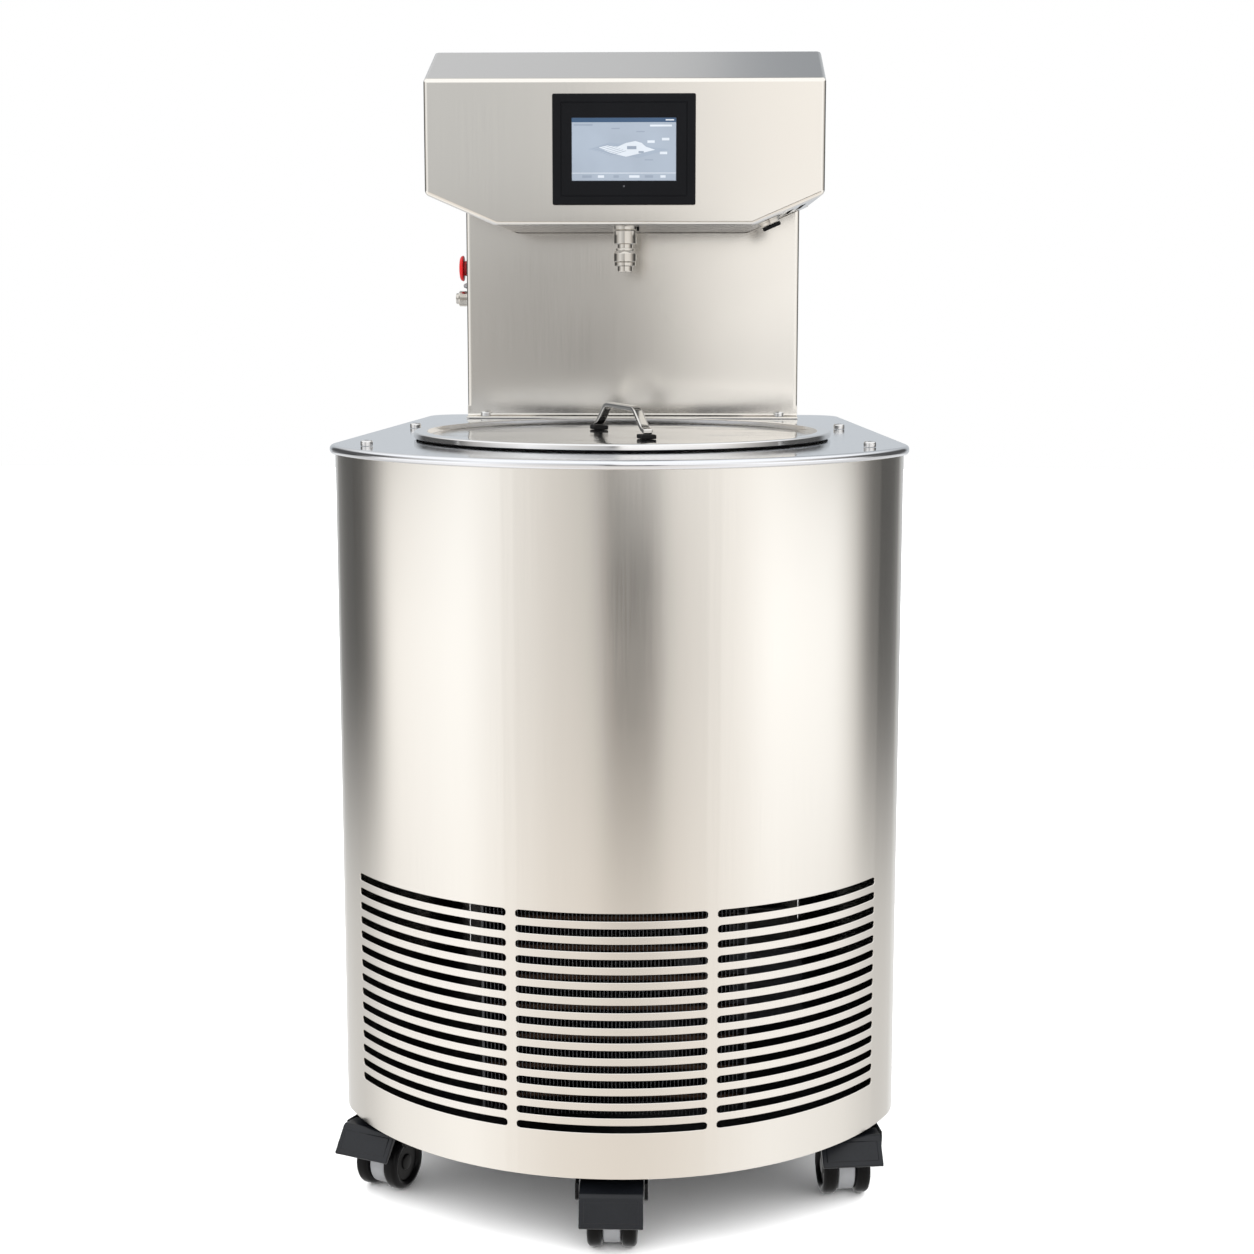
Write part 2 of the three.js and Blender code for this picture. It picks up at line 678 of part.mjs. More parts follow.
// Brake pedal: hinge barrel, arm and a plate sloping down to a turned lip, pressed by an angle
function brakePedal(name, pressed) {
  const released = [
    [-24.5, 57], [-24.5, 62], [-29, 64.5], [-46.5, 65.5], [-49, 64], [-64, 43], [-61.5, 40.5],
    [-46, 58.5], [-30, 57.5],
  ];
  const [hingeY, hingeZ] = PEDAL_HINGE;
  const cos = Math.cos(pressed * DEG);
  const sin = Math.sin(pressed * DEG);
  const outline = released.map(([y, z]) => [
    hingeY + (y - hingeY) * cos - (z - hingeZ) * sin,
    hingeZ + (y - hingeY) * sin + (z - hingeZ) * cos,
  ]);
  return piece(name, prismAlongX(outline, -PEDAL_HALF, PEDAL_HALF), blackPlastic);
}

function caster(name, x, y, heading, braked, pressed = 0) {
  const group = new THREE.Group();
  const seat = CABINET_BOTTOM - GAP;
  if (braked) {
    const half = PLATE_SIZE / 2;
    const plate = block([-half, -half, seat - 3], [half, half, seat]);
    const mesh = piece(`${name}_plate`, plate, darkMetal);
    group.add(mesh, swivelBody(`${name}_swivel`, seat - 3 - GAP));
    group.add(brakePedal(`${name}_pedal`, pressed));
  } else {
    group.add(swivelBody(`${name}_swivel`, seat));
  }
  group.add(wheelPair(`${name}_wheels`));
  group.position.set(x, y, 0);
  group.rotation.z = heading * DEG;
  return group;
}

// ---------------------------------------------------------------- the whole object

const object = new THREE.Group();

object.add(cabinetWrap(), basePlate(), deckPlate(), rearPanel(), mainsInlet());
object.add(vessel(), lidPan(), lidGasket(), lidHandle());
object.add(heaterBand(), insulation(), compressor(), condenser(), fanShroud(), fanRotor());
object.add(powerSupply());

const deckScrews = [[-220, -170], [220, -170], [-209, 80], [209, 80]];
deckScrews.forEach(([x, y], i) => object.add(buttonScrew(`deck_screw_${i + 1}`, x, y, DECK_TOP)));

object.add(columnShell(), columnRearCover(), stopButton(), stopCollar(), probeSocket());
[-1, 1].forEach((side, i) => {
  const y = COLUMN_FRONT - COLUMN_FOOT / 2;
  const seat = DECK_TOP + GAP + SHEET;
  object.add(buttonScrew(`column_screw_${i + 1}`, side * COLUMN_SCREW_X, y, seat));
});

object.add(headShell(), headRearCover(), ...touchPanel(), serviceSocket());
object.add(driveMotor(), motorPulley(), driveBelt(), spindlePulley(), spindleHousing());
object.add(spindle(), couplingSleeve());

object.add(caster('front_caster', 0, -279, 0, true, PEDAL_TRAVEL));
object.add(caster('left_caster', -203.5, -159, -25, true));
object.add(caster('right_caster', 203.5, -159, 8, true));
object.add(caster('rear_left_caster', -178, 272, 0, false));
object.add(caster('rear_right_caster', 178, 272, 0, false));

export default object;
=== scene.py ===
# %% [markdown]
# # A floor-standing sous vide bath
# The real object is a stainless cabinet on casters. A polished deck carries a lidded round vessel, and
# a column at the back holds a head with a touch panel and a stirrer coupling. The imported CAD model
# already has every part at its real size, so this lesson gives each part its finished surface: folded
# edges, rolled rims, turned profiles, and a material for each finish. The frame is loaded first.

# %% Load the frame
import json
import math

import bpy
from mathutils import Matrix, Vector


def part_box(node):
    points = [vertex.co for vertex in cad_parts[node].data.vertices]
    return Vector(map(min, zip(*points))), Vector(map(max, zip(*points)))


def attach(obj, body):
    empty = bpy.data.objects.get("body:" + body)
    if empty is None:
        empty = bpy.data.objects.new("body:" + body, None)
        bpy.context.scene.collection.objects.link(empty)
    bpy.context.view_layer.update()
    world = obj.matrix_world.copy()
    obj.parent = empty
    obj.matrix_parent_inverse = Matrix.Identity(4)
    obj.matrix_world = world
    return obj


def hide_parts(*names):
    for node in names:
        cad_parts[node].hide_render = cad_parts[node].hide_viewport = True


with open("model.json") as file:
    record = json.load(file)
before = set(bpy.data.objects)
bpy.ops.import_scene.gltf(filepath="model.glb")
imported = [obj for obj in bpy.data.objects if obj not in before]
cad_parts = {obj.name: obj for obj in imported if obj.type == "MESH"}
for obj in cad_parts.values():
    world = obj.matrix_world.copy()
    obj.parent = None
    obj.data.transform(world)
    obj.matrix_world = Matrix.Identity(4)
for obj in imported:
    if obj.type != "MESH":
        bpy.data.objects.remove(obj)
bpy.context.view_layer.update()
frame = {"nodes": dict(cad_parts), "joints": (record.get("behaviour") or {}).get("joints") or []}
MM = 0.001

# %% [markdown]
# ## The camera
# A long lens a little above the deck keeps the cabinet's sides nearly upright. The camera could be
# aimed at an empty with a constraint, but a plain position and two angles say the same thing and stay
# readable. The object is seen a degree or two off its middle, so its back lies slightly to the right.

# %% Camera
CAMERA_PLACE = Vector((0.070, -2.076, 0.815))
CAMERA_PITCH = math.radians(8.78)
CAMERA_YAW = math.radians(1.85)
LENS_MM = 62.6

bpy.ops.object.select_all(action="DESELECT")
bpy.ops.object.camera_add(
    location=CAMERA_PLACE,
    rotation=(math.radians(90) - CAMERA_PITCH, 0, CAMERA_YAW),
)
camera = bpy.context.object
camera.data.lens = LENS_MM
camera.data.sensor_width = 36
camera.data.clip_end = 100
bpy.context.scene.camera = camera
bpy.context.scene.view_settings.view_transform = "Standard"
print("camera at", tuple(camera.location))

# %% [markdown]
# ## Colours and nodes
# Colours are written as the hex values a painter would read off a chart, and one function turns them
# into the linear numbers that a shader wants. A second small function adds any node with its settings
# and links, so each material below is a short list of what feeds what.

# %% Colour and node helpers
def linear(code, alpha=1.0):
    """An sRGB hex colour as linear red, green, blue and alpha."""
    parts = [int(code[i:i + 2], 16) / 255 for i in (1, 3, 5)]
    curve = [c / 12.92 if c <= 0.04045 else ((c + 0.055) / 1.055) ** 2.4 for c in parts]
    return (*curve, alpha)


def add_node(tree, kind, inputs=None, **settings):
    """A shader node with its settings, and its inputs set to values or linked to sockets."""
    made = tree.nodes.new("ShaderNode" + kind)
    for key, value in settings.items():
        setattr(made, key, value)
    for key, value in (inputs or {}).items():
        if isinstance(value, bpy.types.NodeSocket):
            tree.links.new(value, made.inputs[key])
        else:
            made.inputs[key].default_value = value
    return made


def set_ramp(ramp_node, stops):
    """Stops of a colour ramp, as (place, colour) pairs in order."""
    ramp = ramp_node.color_ramp
    while len(ramp.elements) < len(stops):
        ramp.elements.new(1.0)
    for element, (place, colour) in zip(ramp.elements, stops):
        element.position = place
        element.color = colour


def new_material(name, **surface):
    """A material with a Principled surface, its sockets set by their names with _ for a space."""
    material = bpy.data.materials.new(name)
    material.use_nodes = True
    tree = material.node_tree
    tree.nodes.clear()
    inputs = {key.replace("_", " "): value for key, value in surface.items()}
    shader = add_node(tree, "BsdfPrincipled", inputs)
    add_node(tree, "OutputMaterial", {"Surface": shader.outputs["BSDF"]})
    return material, tree, shader


def noise(tree, place, scale, detail, **more):
    """Noise over the object, its scale one number, or three for a stretched noise."""
    if not isinstance(scale, float):
        place = add_node(tree, "Mapping", {"Vector": place, "Scale": scale}).outputs["Vector"]
        scale = 1.0
    inputs = {"Vector": place, "Scale": scale, "Detail": detail, **more}
    return add_node(tree, "TexNoise", inputs).outputs["Fac"]


def spread(tree, value, low, high, **limits):
    """A socket's value stretched to run from one number to another."""
    inputs = {key.replace("_", " "): limit for key, limit in limits.items()}
    inputs.update({"Value": value, "To Min": low, "To Max": high})
    return add_node(tree, "MapRange", inputs).outputs["Result"]


def two_tones(tree, value, first, second, colours):
    """A smooth change from one colour to another between two places."""
    ramp = add_node(tree, "ValToRGB", {"Fac": value})
    set_ramp(ramp, list(zip((first, second), colours)))
    return ramp.outputs["Color"]


def shaded(code, share):
    """A hex colour made darker or lighter by a share."""
    return [min(1.0, c * share) for c in linear(code)[:3]] + [1.0]


def bump_of(tree, height, strength, distance, **more):
    """A relief from a height."""
    inputs = {"Height": height, "Strength": strength, "Distance": distance, **more}
    return add_node(tree, "Bump", inputs).outputs["Normal"]


def feed(tree, shader, **sockets):
    """Link sockets into the surface by its input names, with _ for a space."""
    for key, socket in sockets.items():
        tree.links.new(socket, shader.inputs[key.replace("_", " ")])


print("steel grey is", [round(c, 3) for c in linear("#c9c6c0")])

# %% [markdown]
# ## The studio
# Stainless steel shows its surroundings, so the studio is most of its look. The room is white, with a
# dark strip behind the camera and two dark strips at the back corners. They give the round cabinet its
# soft upright bands. It could be built from cards and lamps, but a world shader that reads the
# direction's compass angle does the same with no noise. Five tables hold the room at five heights: by
# the floor, the drum, the column, the head, and overhead.

# %% World
def grey(value, warmth=0.0):
    return (value * (1 + warmth), value, value * (1 - warmth), 1.0)


# Compass angle in degrees, 0 towards the camera and positive to the right, then brightness and warmth
BY_THE_FLOOR = [
    (-180, 1.0, 0.0), (-150, 0.95, 0.0), (-122, 0.74, 0.02), (-100, 1.10, 0.02), (-60, 1.28, 0.02),
    (-24, 1.0, 0.06), (0, 0.98, 0.07), (24, 1.0, 0.06), (60, 1.2, 0.02), (98, 1.05, 0.02),
    (124, 0.76, 0.02), (150, 0.95, 0.0), (180, 1.0, 0.0),
]
BY_THE_DRUM = [
    (-180, 0.75, -0.03), (-150, 0.70, -0.02), (-140, 0.30, 0.0), (-131, 0.14, 0.0), (-118, 0.06, 0.0),
    (-108, 0.30, 0.02), (-97, 1.30, 0.02), (-60, 1.45, 0.0), (-44, 1.12, 0.02), (-24, 0.84, 0.04),
    (-8, 0.74, 0.04), (-1.5, 0.0, 0.0), (13, 0.0, 0.0), (19.5, 0.72, 0.03), (30, 0.86, 0.03),
    (48, 1.22, 0.02), (60, 1.50, 0.0), (91, 1.45, 0.0), (101, 0.95, 0.02), (109, 0.25, 0.02),
    (120, 0.08, 0.0), (132, 0.14, 0.0), (142, 0.50, 0.0), (155, 0.70, -0.02), (180, 0.72, -0.03),
]
BACK_LEFT = [
    (-180, 0.68, -0.05), (-152, 0.58, -0.04), (-140, 0.10, 0.0), (-100, 0.12, 0.02), (-84, 0.60, 0.03),
]
BACK_RIGHT = [(104, 0.12, 0.02), (140, 0.10, 0.0), (152, 0.56, -0.04), (180, 0.66, -0.05)]
BY_THE_COLUMN = BACK_LEFT + [
    (-50, 1.25, 0.0), (-25, 0.85, 0.03), (-8, 0.62, 0.02), (-5, 0.44, 0.02), (-3.0, 0.24, 0.02),
    (-1.4, 0.28, 0.03), (0.2, 1.25, 0.03), (2, 1.35, 0.01), (30, 1.25, 0.01), (52, 1.20, 0.02),
    (68, 0.85, 0.04), (86, 0.42, 0.04),
] + BACK_RIGHT
BY_THE_HEAD = BACK_LEFT + [
    (-50, 1.20, 0.0), (-20, 0.85, 0.0), (-6, 0.70, -0.01), (-3, 0.72, 0.0), (0.5, 1.15, 0.03),
    (4, 1.22, 0.03), (30, 1.25, 0.01), (52, 1.10, 0.02), (68, 0.80, 0.04), (86, 0.40, 0.04),
] + BACK_RIGHT
OVERHEAD = [
    (-180, 0.66, -0.01), (-150, 0.85, 0.0), (-110, 1.35, 0.0), (110, 1.35, 0.0), (150, 0.70, -0.03),
    (176, 0.38, -0.05), (178.5, 0.40, -0.05), (180, 0.66, -0.01),
]

world = bpy.data.worlds.new("white studio")
world.use_nodes = True
bpy.context.scene.world = world
tree = world.node_tree
tree.nodes.clear()
direction = add_node(tree, "TexCoord").outputs["Generated"]
turned_direction = add_node(
    tree, "Mapping", {"Vector": direction, "Rotation": (0, 0, math.radians(90))}, vector_type="POINT",
)
compass = add_node(
    tree, "TexGradient", {"Vector": turned_direction.outputs["Vector"]}, gradient_type="RADIAL",
)
height = add_node(tree, "SeparateXYZ", {"Vector": direction}).outputs["Z"]


def ring_of(table):
    """The colours of one table by compass angle."""
    ramp = add_node(tree, "ValToRGB", {"Fac": compass.outputs["Fac"]})
    set_ramp(ramp, [(0.5 + angle / 360, grey(value, warmth)) for angle, value, warmth in table])
    return ramp.outputs["Color"]


def above(lower, upper, start, end):
    """Blend from a lower table to an upper one between two heights of the direction."""
    share = add_node(
        tree, "MapRange", {"Value": height, "From Min": start, "From Max": end},
        interpolation_type="SMOOTHSTEP",
    )
    mix = add_node(tree, "MixRGB", {"Fac": share.outputs["Result"], "Color1": lower, "Color2": upper})
    return mix.outputs["Color"]


room = above(ring_of(BY_THE_FLOOR), ring_of(BY_THE_DRUM), -0.29, -0.17)
room = above(room, ring_of(BY_THE_COLUMN), -0.075, -0.05)
room = above(room, ring_of(BY_THE_HEAD), 0.012, 0.035)
room = above(room, ring_of(OVERHEAD), 0.20, 0.50)
rays = add_node(tree, "LightPath")
seen = add_node(
    tree, "MixRGB", {"Fac": rays.outputs["Is Camera Ray"], "Color1": room, "Color2": grey(1.0)},
)
lift = add_node(
    tree, "MapRange", {"Value": rays.outputs["Is Diffuse Ray"], "To Min": 1.0, "To Max": 2.9},
)
background = add_node(
    tree, "Background", {"Color": seen.outputs["Color"], "Strength": lift.outputs["Result"]},
)
add_node(tree, "OutputWorld", {"Surface": background.outputs["Background"]})
print("room tables of", len(BY_THE_FLOOR), len(BY_THE_DRUM), len(BY_THE_HEAD), len(OVERHEAD), "stops")

# %% [markdown]
# The floor is one large pale sheet of matt paper. It only catches the soft contact shadow.

# %% Floor
FLOOR_SIZE = 16.0
bpy.ops.object.select_all(action="DESELECT")
bpy.ops.mesh.primitive_plane_add(size=FLOOR_SIZE, location=(0, 0, -0.0005))
floor = bpy.context.object
floor.name = "studio_floor"
paper, tree, shader = new_material("matt paper floor", Base_Color=linear("#f8f8f8"), Roughness=0.9)
floor.data.materials.append(paper)
floor.visible_glossy = False
print("floor", FLOOR_SIZE, "m")


# %% [markdown]
# ## Steel finishes
# The cabinet, the column and the head are 304 stainless sheet with a linished grain, rubbed upright by
# a fine belt. The eye gets two things from it: a soft, slightly streaked reflection, and a warm grey. A
# scanned texture could give that, but a stretched noise is sharper at every distance. A real grain
# line is about 0.1 mm wide, too fine to show here, so it is drawn about 0.9 mm wide.

# %% Linished steel
GRAIN_WIDTH = 0.9 * MM
GRAIN_LENGTH = 90 * MM


def linished_steel(name, colour, roughness, along, bump=0.006):
    """Belt-rubbed stainless steel with its grain along one axis, given as 0, 1 or 2."""
    material, tree, shader = new_material(name, Metallic=1.0, Roughness=roughness)
    place = add_node(tree, "TexCoord").outputs["Object"]
    scale = [1 / GRAIN_WIDTH] * 3
    scale[along] = 1 / GRAIN_LENGTH
    grain = noise(tree, place, scale, 3.0, Roughness=0.6)
    cloud = noise(tree, place, 9.0, 2.0)
    tint = two_tones(tree, grain, 0.30, 0.70, (shaded(colour, 0.975), linear(colour)))
    streaks = spread(tree, grain, roughness - 0.02, roughness + 0.02)
    clouds = spread(tree, cloud, -0.02, 0.02)
    total = add_node(tree, "Math", {0: streaks, 1: clouds}, operation="ADD").outputs["Value"]
    relief = bump_of(tree, grain, bump, 0.0002)
    feed(tree, shader, Base_Color=tint, Roughness=total, Normal=relief)
    return material


steel_upright = linished_steel("linished stainless steel, upright grain", "#e2dfd9", 0.21, along=2)
steel_flat = linished_steel("linished stainless steel, finer belt", "#e2dfd9", 0.135, along=2)
steel_roof = linished_steel("linished stainless steel, grain front to back", "#dcdbda", 0.20, along=1)
print("grain", round(GRAIN_WIDTH * 1000, 2), "by", round(GRAIN_LENGTH * 1000), "mm")

# %% [markdown]
# The deck and the lid are the same steel polished with a fine compound. They show a nearly clear
# reflection with hairline wiping marks. Turned fittings are satin nickel plate over steel, which keeps
# the fine rings of the lathe tool.

# %% Polished steel and nickel
def polished_steel(name, colour, roughness, wipe=0.03, wave=0.0):
    """Compound-polished stainless steel with wiping marks, and slow waves left by the press."""
    material, tree, shader = new_material(name, Metallic=1.0, Base_Color=linear(colour))
    place = add_node(tree, "TexCoord").outputs["Object"]
    marks = noise(tree, place, (260, 18, 60), 4.0)
    rough = spread(tree, marks, roughness, roughness + wipe, From_Min=0.35, From_Max=0.7)
    swell = bump_of(tree, noise(tree, place, 11.0, 1.5), wave, 0.0016)
    relief = bump_of(tree, marks, 0.012, 0.0002, Normal=swell)
    feed(tree, shader, Roughness=rough, Normal=relief)
    return material


def turned_nickel(name, colour, roughness, pitch=0.7 * MM):
    """Satin nickel plate over turned steel, with the lathe tool's rings along Z."""
    material, tree, shader = new_material(name, Metallic=1.0, Base_Color=linear(colour))
    place = add_node(tree, "TexCoord").outputs["Object"]
    rings = noise(tree, place, (6, 6, 1 / pitch), 2.0)
    rough = spread(tree, rings, roughness - 0.04, roughness + 0.06)
    feed(tree, shader, Roughness=rough, Normal=bump_of(tree, rings, 0.04, 0.0001))
    return material


mirror_deck = polished_steel("polished stainless steel deck", "#dcdee2", 0.09, wave=0.12)
mirror_lid = polished_steel("polished stainless steel lid", "#dedede", 0.10, wave=1.0)
bright_screw = polished_steel("bright stainless screw steel", "#d8d8d8", 0.16, wipe=0.05)
nickel = turned_nickel("satin nickel on turned steel", "#c4c0b9", 0.07)
bright_nickel = turned_nickel("bright nickel on bent steel", "#d2d0cc", 0.07)
print("polished finishes", mirror_deck.name, mirror_lid.name, bright_screw.name, nickel.name)

# %% [markdown]
# The dark parts are moulded. Glass-filled nylon and ABS come out of the mould with a spark-eroded
# texture of about half a millimetre, which breaks up the highlight. Rubber is duller and greyer. One
# function makes them all, because they differ only in colour, gloss and texture.

# %% Moulded plastics and rubber
def moulded(name, colour, roughness, texture=0.5 * MM, bump=0.12, coat=0.0, gloss=0.3):
    """Moulded plastic or rubber with a fine spark-eroded texture."""
    material, tree, shader = new_material(name, IOR=1.45, Coat_Weight=coat, Coat_Roughness=0.06)
    shader.inputs["Specular IOR Level"].default_value = gloss
    place = add_node(tree, "TexCoord").outputs["Object"]
    grit = noise(tree, place, 1 / texture, 2.0, Roughness=0.6)
    cloud = noise(tree, place, 40.0, 2.0)
    tone = two_tones(tree, cloud, 0.35, 0.75, (linear(colour), shaded(colour, 1.18)))
    rough = spread(tree, grit, roughness - 0.05, roughness + 0.08)
    feed(tree, shader, Base_Color=tone, Roughness=rough, Normal=bump_of(tree, grit, bump, 0.0001))
    return material


black_nylon = moulded("black glass-filled nylon", "#0b0c0d", 0.36, gloss=0.14)
pedal_black = moulded("black nylon pedal, rubbed by shoes", "#121418", 0.28, gloss=0.34)
wheel_black = moulded("black polyurethane tread", "#080809", 0.30, bump=0.05, gloss=0.12)
grey_nylon = moulded("mid-grey moulded nylon", "#77787a", 0.45)
bezel_black = moulded("black ABS bezel", "#0a0b0e", 0.34, bump=0.06, gloss=0.12)
case_grey = moulded("grey ABS case", "#6f7274", 0.5)
soft_rubber = moulded("black moulded rubber", "#0a0a0b", 0.62, bump=0.2, gloss=0.2)
signal_red = moulded("glossy red melamine button", "#a80d10", 0.25, bump=0.02)
print("moulded finishes ready")

# %% [markdown]
# Inside the cabinet there are dull metals: zinc-plated plate, black stove paint, aluminium foil and
# thin coated fins. They are seen only through slots, so they need the right tone more than fine detail.

# %% Dull inner metals
def dull_metal(name, colour, roughness, metallic, grit=3 * MM):
    """Plated, painted or rolled metal with a slightly cloudy tone."""
    material, tree, shader = new_material(name, Metallic=metallic)
    place = add_node(tree, "TexCoord").outputs["Object"]
    spots = noise(tree, place, 1 / grit, 4.0)
    tone = two_tones(tree, spots, 0.3, 0.7, (shaded(colour, 0.75), linear(colour)))
    rough = spread(tree, spots, roughness - 0.08, roughness + 0.08)
    feed(tree, shader, Base_Color=tone, Roughness=rough)
    return material


zinc_plate = dull_metal("dark zinc-plated steel", "#4b4c4e", 0.5, 0.9)
stove_black = dull_metal("black stove paint", "#1c1c1e", 0.45, 0.0)
foil_silver = dull_metal("crinkled aluminium foil", "#a5a6a5", 0.42, 0.9, grit=6 * MM)
fin_grey = dull_metal("coated aluminium fins", "#66686b", 0.5, 0.7)
tank_steel = linished_steel("drawn stainless steel tank", "#dedcd8", 0.32, along=2)
print("inner finishes ready")

# %% [markdown]
# ## Modelling helpers
# Most pieces start in one of three ways. A sheet part starts as a circle whose corners are moved onto
# its outline and is then extruded. A turned part starts as its half profile and is spun about an axis.
# A block starts as a cube and has its edges bevelled. Each helper begins by deselecting everything,
# because an operator acts on all that is selected.

# %% Start, shape and finish a piece
def start():
    """Leave edit mode and deselect everything."""
    if bpy.context.object and bpy.context.object.mode != "OBJECT":
        bpy.ops.object.mode_set(mode="OBJECT")
    bpy.ops.object.select_all(action="DESELECT")


def only(shape):
    """Make one object the selected and active one."""
    start()
    shape.select_set(True)
    bpy.context.view_layer.objects.active = shape
    return shape


def outline(points, filled=True):
    """A flat loop with one corner for each point, from a circle whose corners are moved."""
    start()
    fill = "NGON" if filled else "NOTHING"
    bpy.ops.mesh.primitive_circle_add(vertices=len(points), radius=1, fill_type=fill)
    shape = bpy.context.object
    for vertex, point in zip(shape.data.vertices, points):
        vertex.co = point
    return shape


def edit(shape, mode="VERT"):
    """Edit mode on one object with all of it selected."""
    only(shape)
    bpy.ops.object.mode_set(mode="EDIT")
    bpy.ops.mesh.select_mode(type=mode)
    bpy.ops.mesh.select_all(action="SELECT")


def select(shape, mode, test):
    """Edit mode with only the faces or edges selected that pass a test."""
    edit(shape, mode)
    bpy.ops.mesh.select_all(action="DESELECT")
    bpy.ops.object.mode_set(mode="OBJECT")
    for part in shape.data.polygons if mode == "FACE" else shape.data.edges:
        part.select = bool(test(part))
    bpy.ops.object.mode_set(mode="EDIT")


def inset_faces(shape, test, *steps):
    """Inset chosen faces step by step, each step a thickness and a depth in millimetres."""
    select(shape, "FACE", test)
    for thickness, depth in steps:
        bpy.ops.mesh.inset(thickness=thickness * MM, depth=depth * MM)
    bpy.ops.object.mode_set(mode="OBJECT")
    return shape


def tidy(shape):
    """Merge doubles and turn every face outwards."""
    edit(shape)
    bpy.ops.mesh.remove_doubles(threshold=1e-6)
    bpy.ops.mesh.normals_make_consistent(inside=False)
    bpy.ops.object.mode_set(mode="OBJECT")
    return shape


def raised(points, shift):
    """A solid from an outline extruded along a vector."""
    shape = outline(points)
    edit(shape, "FACE")
    bpy.ops.mesh.extrude_region_move(TRANSFORM_OT_translate={"value": tuple(shift)})
    return tidy(shape)


def spun(profile, steps=48, closed=False):
    """A solid turned about Z from a profile of (radius, height) points."""
    shape = outline([(radius, 0, z) for radius, z in profile], filled=False)
    if not closed:
        last = len(profile) - 1
        select(shape, "EDGE", lambda edge: set(edge.vertices) == {0, last})
        bpy.ops.mesh.delete(type="EDGE")
        bpy.ops.object.mode_set(mode="OBJECT")
    edit(shape)
    bpy.ops.mesh.spin(steps=steps, angle=2 * math.pi, center=(0, 0, 0), axis=(0, 0, 1))
    return tidy(shape)


def cuboid(low, high):
    """A box between two corners."""
    start()
    middle = [(a + b) / 2 for a, b in zip(low, high)]
    size = [b - a for a, b in zip(low, high)]
    bpy.ops.mesh.primitive_cube_add(size=1, location=middle, scale=size)
    shape = bpy.context.object
    bpy.ops.object.transform_apply(location=True, rotation=True, scale=True)
    return shape


def modified(shape, kind, **settings):
    """A modifier added with its settings and applied."""
    only(shape)
    bpy.ops.object.modifier_add(type=kind)
    modifier = shape.modifiers[-1]
    for key, value in settings.items():
        setattr(modifier, key, value)
    bpy.ops.object.modifier_apply(modifier=modifier.name)
    return shape


def bevelled(shape, width, segments=2, angle=30):
    return modified(
        shape, "BEVEL", width=width, segments=segments, limit_method="ANGLE",
        angle_limit=math.radians(angle), use_clamp_overlap=True,
    )


def cut(shape, *cutters):
    """Cut tools out of a piece, then remove the tools."""
    for cutter in cutters:
        modified(shape, "BOOLEAN", operation="DIFFERENCE", solver="EXACT", object=cutter)
        bpy.data.objects.remove(cutter)
    return shape


def joined(*shapes):
    only(shapes[0])
    for shape in shapes[1:]:
        shape.select_set(True)
    if len(shapes) > 1:
        bpy.ops.object.join()
    return bpy.context.object


def copied(shape):
    """A copy with its own mesh."""
    only(shape)
    bpy.ops.object.duplicate(linked=False)
    return bpy.context.object


def moved(shape, place=(0, 0, 0), turn=(0, 0, 0)):
    """Turn a piece about the origin, move it, and put both into its mesh."""
    only(shape)
    shape.rotation_euler = turn
    shape.location = place
    bpy.ops.object.transform_apply(location=True, rotation=True, scale=True)
    return shape


def lathed(profile, place=(0, 0, 0), turn=(0, 0, 0), steps=48, closed=False):
    """A turned piece from a profile in millimetres, turned about the origin and moved."""
    return moved(spun([(radius * MM, z * MM) for radius, z in profile], steps, closed), place, turn)


def side_view(points, x):
    """Corners in millimetres from (Y, Z) points, all at one X."""
    return [Vector((x * MM, y * MM, z * MM)) for y, z in points]


def painted(shape, material, angle=35):
    """Give one material, smooth the soft edges, and let the large faces set the normals."""
    shape.data.materials.clear()
    shape.data.materials.append(material)
    only(shape)
    bpy.ops.object.shade_smooth_by_angle(angle=math.radians(angle))
    modified(shape, "WEIGHTED_NORMAL", mode="FACE_AREA", weight=50, keep_sharp=True)
    return shape


def finished(shape, name, body, slot, *nodes):
    """Name a piece, hang it on its body and hide the CAD nodes it stands for."""
    shape.name = name
    shape.data.name = name
    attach(shape, body)
    if nodes:
        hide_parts(*nodes)
    print(name, len(shape.data.polygons), "faces")
    return shape


print("helpers ready")

# %% [markdown]
# ## Plan of the cabinet
# Seen from above the cabinet is a wide arc round the vessel in front, two sides that draw in towards the
# back, and two rounded rear corners. The front corners, where the arc meets the sides, are bent over a
# soft radius. The outline is worked out once and shifted in or out for the skin, the deck and the base.

# %% Outline of the plan
vessel_low, vessel_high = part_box("vessel")
wrap_low, wrap_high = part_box("cabinet_wrap")
deck_low, deck_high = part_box("deck_plate")
AXIS = Vector((0, (vessel_low.y + vessel_high.y) / 2, 0))
SKIN_RADIUS = AXIS.y - wrap_low.y
REAR_Y = wrap_high.y
REAR_HALF = 218 * MM
REAR_CORNER = 30 * MM
ARC_END = 69
ARC_SOFTENING = 4.5
DECK_TOP = deck_high.z
CABINET_BOTTOM = wrap_low.z


def on_arc(radius, degrees, z=0.0):
    """A point on the front arc, its angle counted from straight ahead."""
    angle = math.radians(degrees)
    return Vector((radius * math.sin(angle), AXIS.y - radius * math.cos(angle), z))


